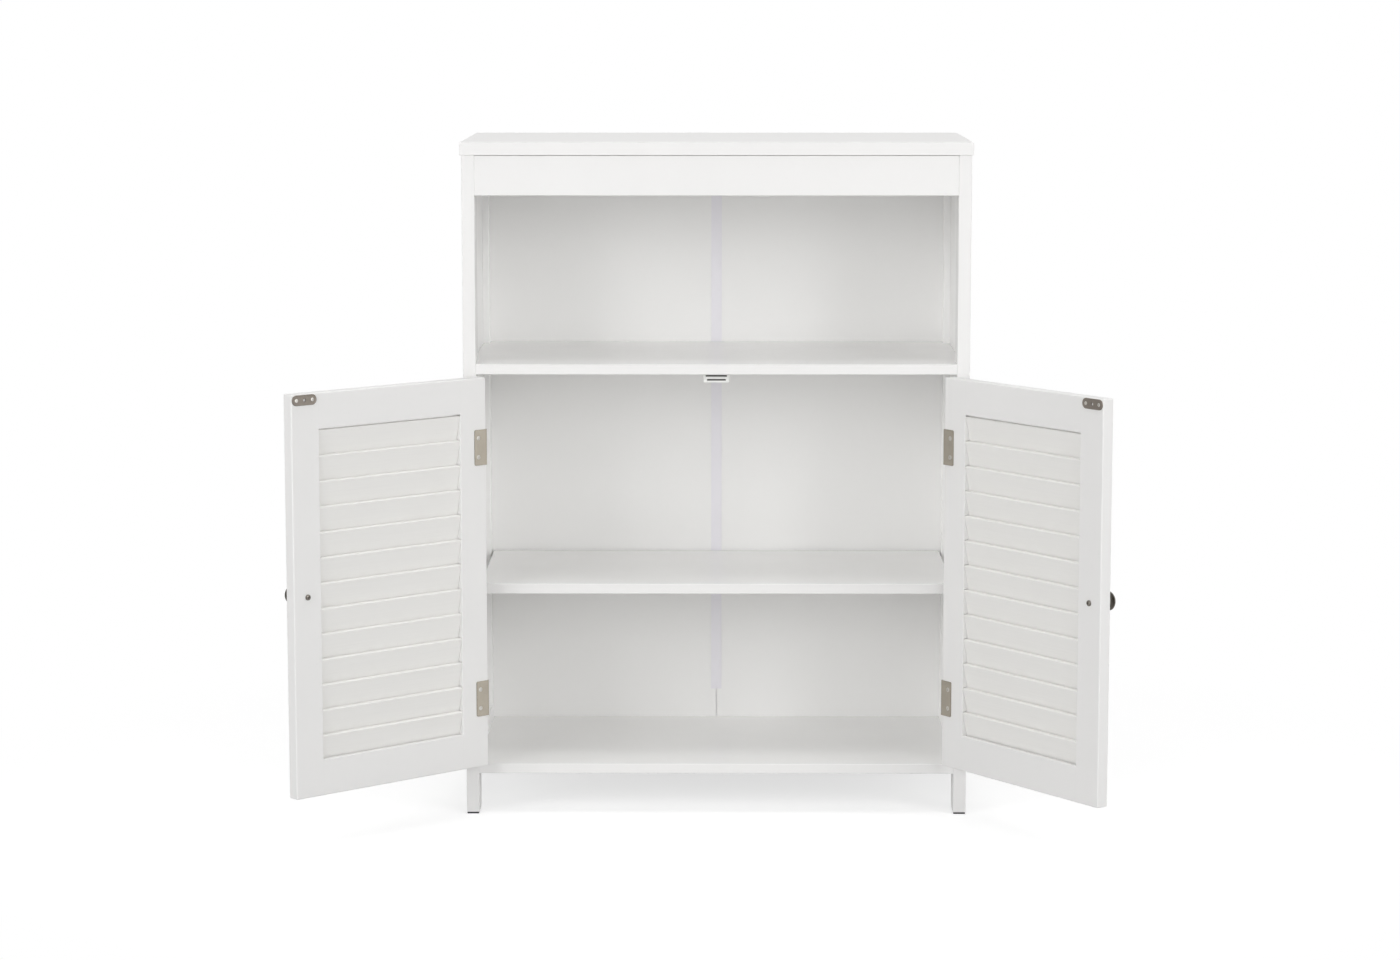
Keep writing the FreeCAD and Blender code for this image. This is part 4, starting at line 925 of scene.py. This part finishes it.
class CABINET_OT_screws(bpy.types.Operator):
    """Drive the screws of hinges, strike plates, catch and knobs"""
    bl_idname = "cabinet.screws"
    bl_label = "Screws"

    @staticmethod
    def tree(name, profile):
        """A cross-head screw; profile gives radius and height from its inputs."""
        screw = Fitting(name, {
            "Head radius": 2.7 * MM, "Head depth": 1.2 * MM, "Head rise": 0.15 * MM,
            "Shank radius": 1.5 * MM, "Length": 12 * MM, "Recess length": 3 * MM,
            "Recess width": 0.75 * MM, "Recess depth": 0.9 * MM, "Sides": 36,
            "Spin": 2 * pi, "Seed": 1})
        outline = profile(*screw.inputs("Head radius", "Head depth", "Head rise",
                                        "Shank radius", "Length"))
        top, long, wide, deep = screw.inputs("Head rise", "Recess length", "Recess width",
                                             "Recess depth")
        body = screw.minus(screw.lathe(outline, screw.input("Sides")),
                           *screw.cross(long, wide, top - deep, top * 2.0))
        return screw.close(screw.at_points(body))

    @staticmethod
    def flat_head(head, depth, rise, shank, length):
        """Profile of a countersunk head, as deep as it is sunk."""
        return [(0.0, -length), (shank, shank * 2.0 - length), (shank, -depth),
                (head, depth * -0.1), (head * 0.97, rise * 0.3), (head * 0.62, rise * 0.9),
                (0.0, rise)]

    @staticmethod
    def pan_head(head, _, rise, shank, length):
        """Profile of a domed head, which stands on its seat and isn't sunk."""
        return [(0.0, -length), (shank, shank * 2.0 - length), (shank, rise * -0.01),
                (head, 0.0), (head, rise * 0.35), (head * 0.93, rise * 0.64),
                (head * 0.76, rise * 0.86), (head * 0.45, rise * 0.98), (0.0, rise)]

    def execute(self, context):
        sizes = context.scene.cabinet_sizes
        flat = self.tree("flat_head_screw", self.flat_head)
        pan = self.tree("pan_head_screw", self.pan_head)
        rows = [("hinge_frame_screws", "carcass", towards_middle, sizes.screw_head, 1.5, flat),
                ("catch_screws", "carcass", lambda screw: -Z, sizes.small_screw_head, 1.2, flat)]
        for side in SIDES:
            rows += [("hinge_door_screws_" + side, side, inwards, sizes.screw_head, 1.5, flat),
                     ("strike_screws_" + side, side, inwards, sizes.small_screw_head, 1.2, flat),
                     ("knob_screw_" + side, side, inwards, sizes.knob_screw_head, 2.0, pan)]
        for number, (node, where, axis_of, head, shank, tree) in enumerate(rows):
            points, length = screw_places(node, axis_of, where)
            values = {"Head radius": head, "Shank radius": shank * MM,
                      "Recess length": head * 1.15, "Sides": sizes.fitting_sides,
                      "Seed": 11 + number}
            finish = "fastener_steel"
            if tree is pan:
                rise = sizes.knob_screw_rise
                points, length = sunk(points, rise), length - rise
                values.update({"Head rise": rise, "Recess depth": rise * 0.6})
                finish = "knob_metal"
            values.update({"Length": length, "Material": FINISHES[finish]})
            piece = drawn(node + "_driven", tree, values, points)
            stands_for(node, piece, where, 25)
        return {"FINISHED"}


class CABINET_OT_joinery(bpy.types.Operator):
    """Turn the cam locks and drive the nails of the back"""
    bl_idname = "cabinet.joinery"
    bl_label = "Cam locks and nails"

    @staticmethod
    def cam_tree():
        """A cam lock with a cross slot inside a groove around its face."""
        cam = Fitting("cam_lock", {
            "Radius": 7.5 * MM, "Length": 9.8 * MM, "Slot length": 8 * MM,
            "Slot width": 1.4 * MM, "Slot depth": 1.5 * MM, "Sides": 36, "Spin": 1.4,
            "Seed": 5})
        radius, length, sides = cam.inputs("Radius", "Length", "Sides")
        long, wide, deep = cam.inputs("Slot length", "Slot width", "Slot depth")
        body = cam.lathe([(0.0, -length), (radius * 0.96, 0.0002 - length),
                          (radius, 0.0006 - length), (radius, -0.0004),
                          (radius * 0.96, -0.00002), (radius * 0.80, 0.0), (0.0, 0.000002)], sides)
        outer, inner = radius * 0.74, radius * 0.66
        groove = cam.minus(
            cam.lathe([(0.0, -0.0004), (outer, -0.00039), (outer, 0.001), (0.0, 0.0011)], sides),
            cam.lathe([(0.0, -0.001), (inner, -0.00099), (inner, 0.002), (0.0, 0.0021)], sides))
        body = cam.minus(body, groove, *cam.cross(long, wide, -deep, radius))
        return cam.close(cam.at_points(body))

    @staticmethod
    def nail_tree():
        """A nail with a low domed head."""
        nail = Fitting("back_nail", {
            "Head radius": 2.2 * MM, "Head rise": NAIL_RISE, "Shank radius": 0.8 * MM,
            "Length": 18 * MM, "Sides": 24, "Spin": 6.2, "Seed": 7})
        head, rise, shank, length = nail.inputs("Head radius", "Head rise", "Shank radius",
                                                "Length")
        body = nail.lathe([(0.0, -length), (shank, shank * 3.0 - length), (shank, -0.00001),
                           (head * 0.94, 0.0), (head, rise * 0.3), (head * 0.88, rise * 0.66),
                           (head * 0.55, rise * 0.92), (0.0, rise)], nail.input("Sides"))
        return nail.close(nail.at_points(body))

    def execute(self, context):
        sizes = context.scene.cabinet_sizes
        tree, points = self.cam_tree(), []
        for low, high in solid_boxes("cam_locks"):
            middle, size = (low + high) / 2, high - low
            upright = size.z < min(size.x, size.y)
            axis = -Z if upright else towards_middle(middle)
            points.append((middle + axis * abs(size.dot(axis)) / 2, axis))
        piece = drawn("cast_cam_locks", tree, {
            "Radius": sizes.cam_radius, "Sides": sizes.fitting_sides,
            "Material": FINISHES["cam_zinc"]}, points)
        stands_for("cam_locks", piece, crease=30)

        points, length = screw_places("back_nails", inwards)
        piece = drawn("driven_back_nails", self.nail_tree(), {
            "Length": length - NAIL_RISE, "Material": FINISHES["fastener_steel"]},
            sunk(points, NAIL_RISE))
        stands_for("back_nails", piece, crease=30)
        return {"FINISHED"}


class CABINET_OT_knobs(bpy.types.Operator):
    """Turn the two knobs"""
    bl_idname = "cabinet.knobs"
    bl_label = "Knobs"

    FOOT, NECK = 7.0 * MM, 4.8 * MM         # radii
    FOOT_HEIGHT, HOLLOW = 2.1 * MM, 2.4 * MM
    FOOT_EDGE = 0.8 * MM                    # rounding of the foot's upper edge
    DOME, RIM = 5.6 * MM, 1.0 * MM          # heights

    def outline(self, radius, height):
        """Radius and height from the foot over the neck and the rim to the dome."""
        foot, neck, shoulder = self.FOOT, self.NECK, self.FOOT - self.FOOT_EDGE
        outline = [(0, 0), (foot - 0.3 * MM, 0), (foot, 0.3 * MM), (foot, 1.4 * MM),
                   (foot - 0.25 * MM, 1.85 * MM), (shoulder, self.FOOT_HEIGHT)]
        for step in range(7):
            turn = step / 6 * pi / 2
            outline.append((neck + (shoulder - neck) * (1 - sin(turn)),
                            self.FOOT_HEIGHT + self.HOLLOW * (1 - cos(turn))))
        rim_high = height - self.DOME
        rim_low = rim_high - self.RIM
        cove = radius - neck
        for step in range(1, 10):
            turn = step / 9 * pi / 2
            outline.append((radius - cove * cos(turn), rim_low - cove + cove * sin(turn)))
        outline += [(radius, (rim_low + rim_high) / 2 - 0.2 * MM), (radius, rim_high)]
        ball = (radius ** 2 + self.DOME ** 2) / (2 * self.DOME)
        for step in range(1, 15):
            across = radius * (1 - step / 14)
            outline.append((across, height - ball + (ball ** 2 - across ** 2) ** 0.5))
        return outline

    def execute(self, context):
        sizes = context.scene.cabinet_sizes
        outline = self.outline(sizes.knob_radius, sizes.knob_height)
        for side in SIDES:
            node = "knob_" + side
            low, high = solid_boxes(node, side)[0]
            seat = Vector(((low.x + high.x) / 2, high.y, (low.z + high.z) / 2))
            shape = turned(outline, [(seat, -Y)], 64)
            piece = new_piece(side + "_door_knob", shape, FINISHES["knob_metal"])
            stands_for(node, piece, side)
        return {"FINISHED"}


class CABINET_OT_glides(bpy.types.Operator):
    """Round the edges of the glides under the legs"""
    bl_idname = "cabinet.glides"
    bl_label = "Leg glides"

    def execute(self, context):
        shape = merged("leg_glides")
        bmesh.ops.dissolve_limit(shape, angle_limit=radians(1), verts=shape.verts,
                                 edges=shape.edges)
        piece = new_piece("leg_glide_pads", shape, FINISHES["glide_plastic"])
        ease = piece.modifiers.new("ease", "BEVEL")
        ease.width, ease.segments = context.scene.cabinet_sizes.glide_edge, 3
        stands_for("leg_glides", plain(piece), crease=50)
        return {"FINISHED"}


def seen_rays(graph):
    """1 for what the camera sees, straight or in metal or glass, and 0 for lighting."""
    path = graph.tree.nodes.new("ShaderNodeLightPath")
    straight, glossy, through = (Link(graph, path.outputs[name]) for name in (
        "Is Camera Ray", "Is Glossy Ray", "Is Transmission Ray"))
    return straight.math("MAXIMUM", straight.math("MAXIMUM", straight, glossy), through)


class CABINET_OT_stage(bpy.types.Operator):
    """Set up the floor, the soft lights and the camera"""
    bl_idname = "cabinet.stage"
    bl_label = "Studio"

    VIEWER = (0.001569, -4.296372, 0.968918)
    VIEWER_DOWN, VIEWER_LEFT = radians(7.769), radians(0.288)
    FLOOR_REACH = 40                # metres from the cabinet to the floor's edges
    WHITE_FROM, WHITE_AT = 0.55, 1.0    # metres from the cabinet where the floor turns white
    AIM = Vector((0, 0, 0.4))
    # Place and size of the lamps; those of a pair stand on both sides.
    PAIRS = {"front": ((1.7, -4.7, 1.15), 2.0), "near": ((1.7, -2.0, 1.15), 1.2),
             "side": ((4.1, -2.85, 1.15), 2.0)}
    SINGLES = {"overhead": ((0, -0.2, 3.6), 2.5), "rear": ((0, 3.6, 0.42), 0.7)}

    def execute(self, context):
        studio = context.scene.cabinet_studio
        scene = context.scene
        scene.view_settings.view_transform = "Standard"

        camera = bpy.data.cameras.new("camera")
        camera.lens, camera.sensor_width = studio.lens, 36
        viewer = bpy.data.objects.new("camera", camera)
        viewer.location = self.VIEWER
        viewer.rotation_euler = (radians(90) - self.VIEWER_DOWN, 0, self.VIEWER_LEFT)
        scene.collection.objects.link(viewer)
        scene.camera = viewer

        floor = bpy.data.meshes.new("floor")
        reach = self.FLOOR_REACH
        floor.from_pydata([(-reach, -reach, 0), (reach, -reach, 0), (reach, reach, 0),
                           (-reach, reach, 0)], [], [(0, 1, 2, 3)])
        floor.materials.append(self.floor_finish(studio))
        ground = bpy.data.objects.new("floor", floor)
        scene.collection.objects.link(ground)

        for name, ((x, y, z), size) in self.PAIRS.items():
            for hand, turn in (("left", -1), ("right", 1)):
                self.lamp(f"{name}_light_{hand}", (x * turn, y, z), size, getattr(studio, name))
        for name, (place, size) in self.SINGLES.items():
            self.lamp(name + "_light", place, size, getattr(studio, name))

        world = bpy.data.worlds.new("room")
        world.use_nodes = True
        scene.world = world
        room = Graph(world.node_tree)
        room.tree.nodes.clear()
        level = studio.sky + seen_rays(room) * (1.0 - studio.sky)
        glow = room.node("Background", None, {"Color": (1, 1, 1, 1), "Strength": level})
        room.node("OutputWorld", None, {"Surface": glow})
        return {"FINISHED"}

    def lamp(self, name, place, size, power):
        """A soft square light that looks at the cabinet and isn't seen itself."""
        lamp = bpy.data.lights.new(name, "AREA")
        lamp.shape, lamp.size, lamp.energy = "SQUARE", size, power
        light = bpy.data.objects.new(name, lamp)
        light.location = place
        aim = self.AIM - light.location
        light.rotation_euler = aim.to_track_quat("-Z", "Y").to_euler()
        light.visible_camera = False
        bpy.context.scene.collection.objects.link(light)

    def floor_finish(self, studio):
        """White floor that keeps the shadow, and is plain white away from the cabinet."""
        material = bpy.data.materials.new("floor_paper")
        material.use_nodes = True
        ground = Graph(material.node_tree)
        ground.tree.nodes.clear()
        place = ground.node("TexCoord", output=3)
        away = ground.node("VectorMath", {"operation": "LENGTH"}, {0: place}, output=1)
        far = ground.node("MapRange", {"interpolation_type": "SMOOTHSTEP"},
                          {0: away, 1: self.WHITE_FROM, 2: self.WHITE_AT})
        seen = seen_rays(ground)
        paper = ground.node("BsdfDiffuse", None, {"Color": (*studio.floor, 1)})
        lift = ground.node("Emission", None, {
            "Color": (1, 1, 1, 1), "Strength": seen * studio.floor_lift})
        lit = ground.node("AddShader", None, {0: paper, 1: lift})
        white = ground.node("Emission", None, {"Color": (1, 1, 1, 1), "Strength": 1.0})
        mixed = ground.node("MixShader", None, {0: far * seen, 1: lit, 2: white})
        ground.node("OutputMaterial", None, {"Surface": mixed})
        return material


class CABINET_PT_sidebar(bpy.types.Panel):
    """Steps of the cabinet, in order"""
    bl_idname = "CABINET_PT_sidebar"
    bl_label = "Louvred door cabinet"
    bl_space_type = "VIEW_3D"
    bl_region_type = "UI"
    bl_category = "Cabinet"

    def draw(self, context):
        for group in ("cabinet_colours", "cabinet_sizes", "cabinet_studio"):
            settings = getattr(context.scene, group)
            column = self.layout.column(align=True)
            for key in settings.bl_rna.properties.keys():
                if key not in ("rna_type", "name"):
                    column.prop(settings, key)
        for step in STEPS:
            self.layout.operator(step.bl_idname)


# ---- registration --------------------------------------------------------------------
STEPS = (CABINET_OT_finishes, CABINET_OT_boards, CABINET_OT_louvres, CABINET_OT_hinges,
         CABINET_OT_strikes, CABINET_OT_screws, CABINET_OT_joinery, CABINET_OT_knobs,
         CABINET_OT_glides, CABINET_OT_stage)
GROUPS = {"cabinet_colours": CabinetColours, "cabinet_sizes": CabinetSizes,
          "cabinet_studio": CabinetStudio}


def register():
    for name, group in GROUPS.items():
        bpy.utils.register_class(group)
        setattr(bpy.types.Scene, name, PointerProperty(type=group))
    for one in (*STEPS, CABINET_PT_sidebar):
        bpy.utils.register_class(one)


def unregister():
    for one in reversed((*STEPS, CABINET_PT_sidebar)):
        bpy.utils.unregister_class(one)
    for name, group in reversed(GROUPS.items()):
        delattr(bpy.types.Scene, name)
        bpy.utils.unregister_class(group)


def main():
    register()
    for step in STEPS:
        area, name = step.bl_idname.split(".")
        getattr(getattr(bpy.ops, area), name)()


if __name__ == "__main__":
    main()
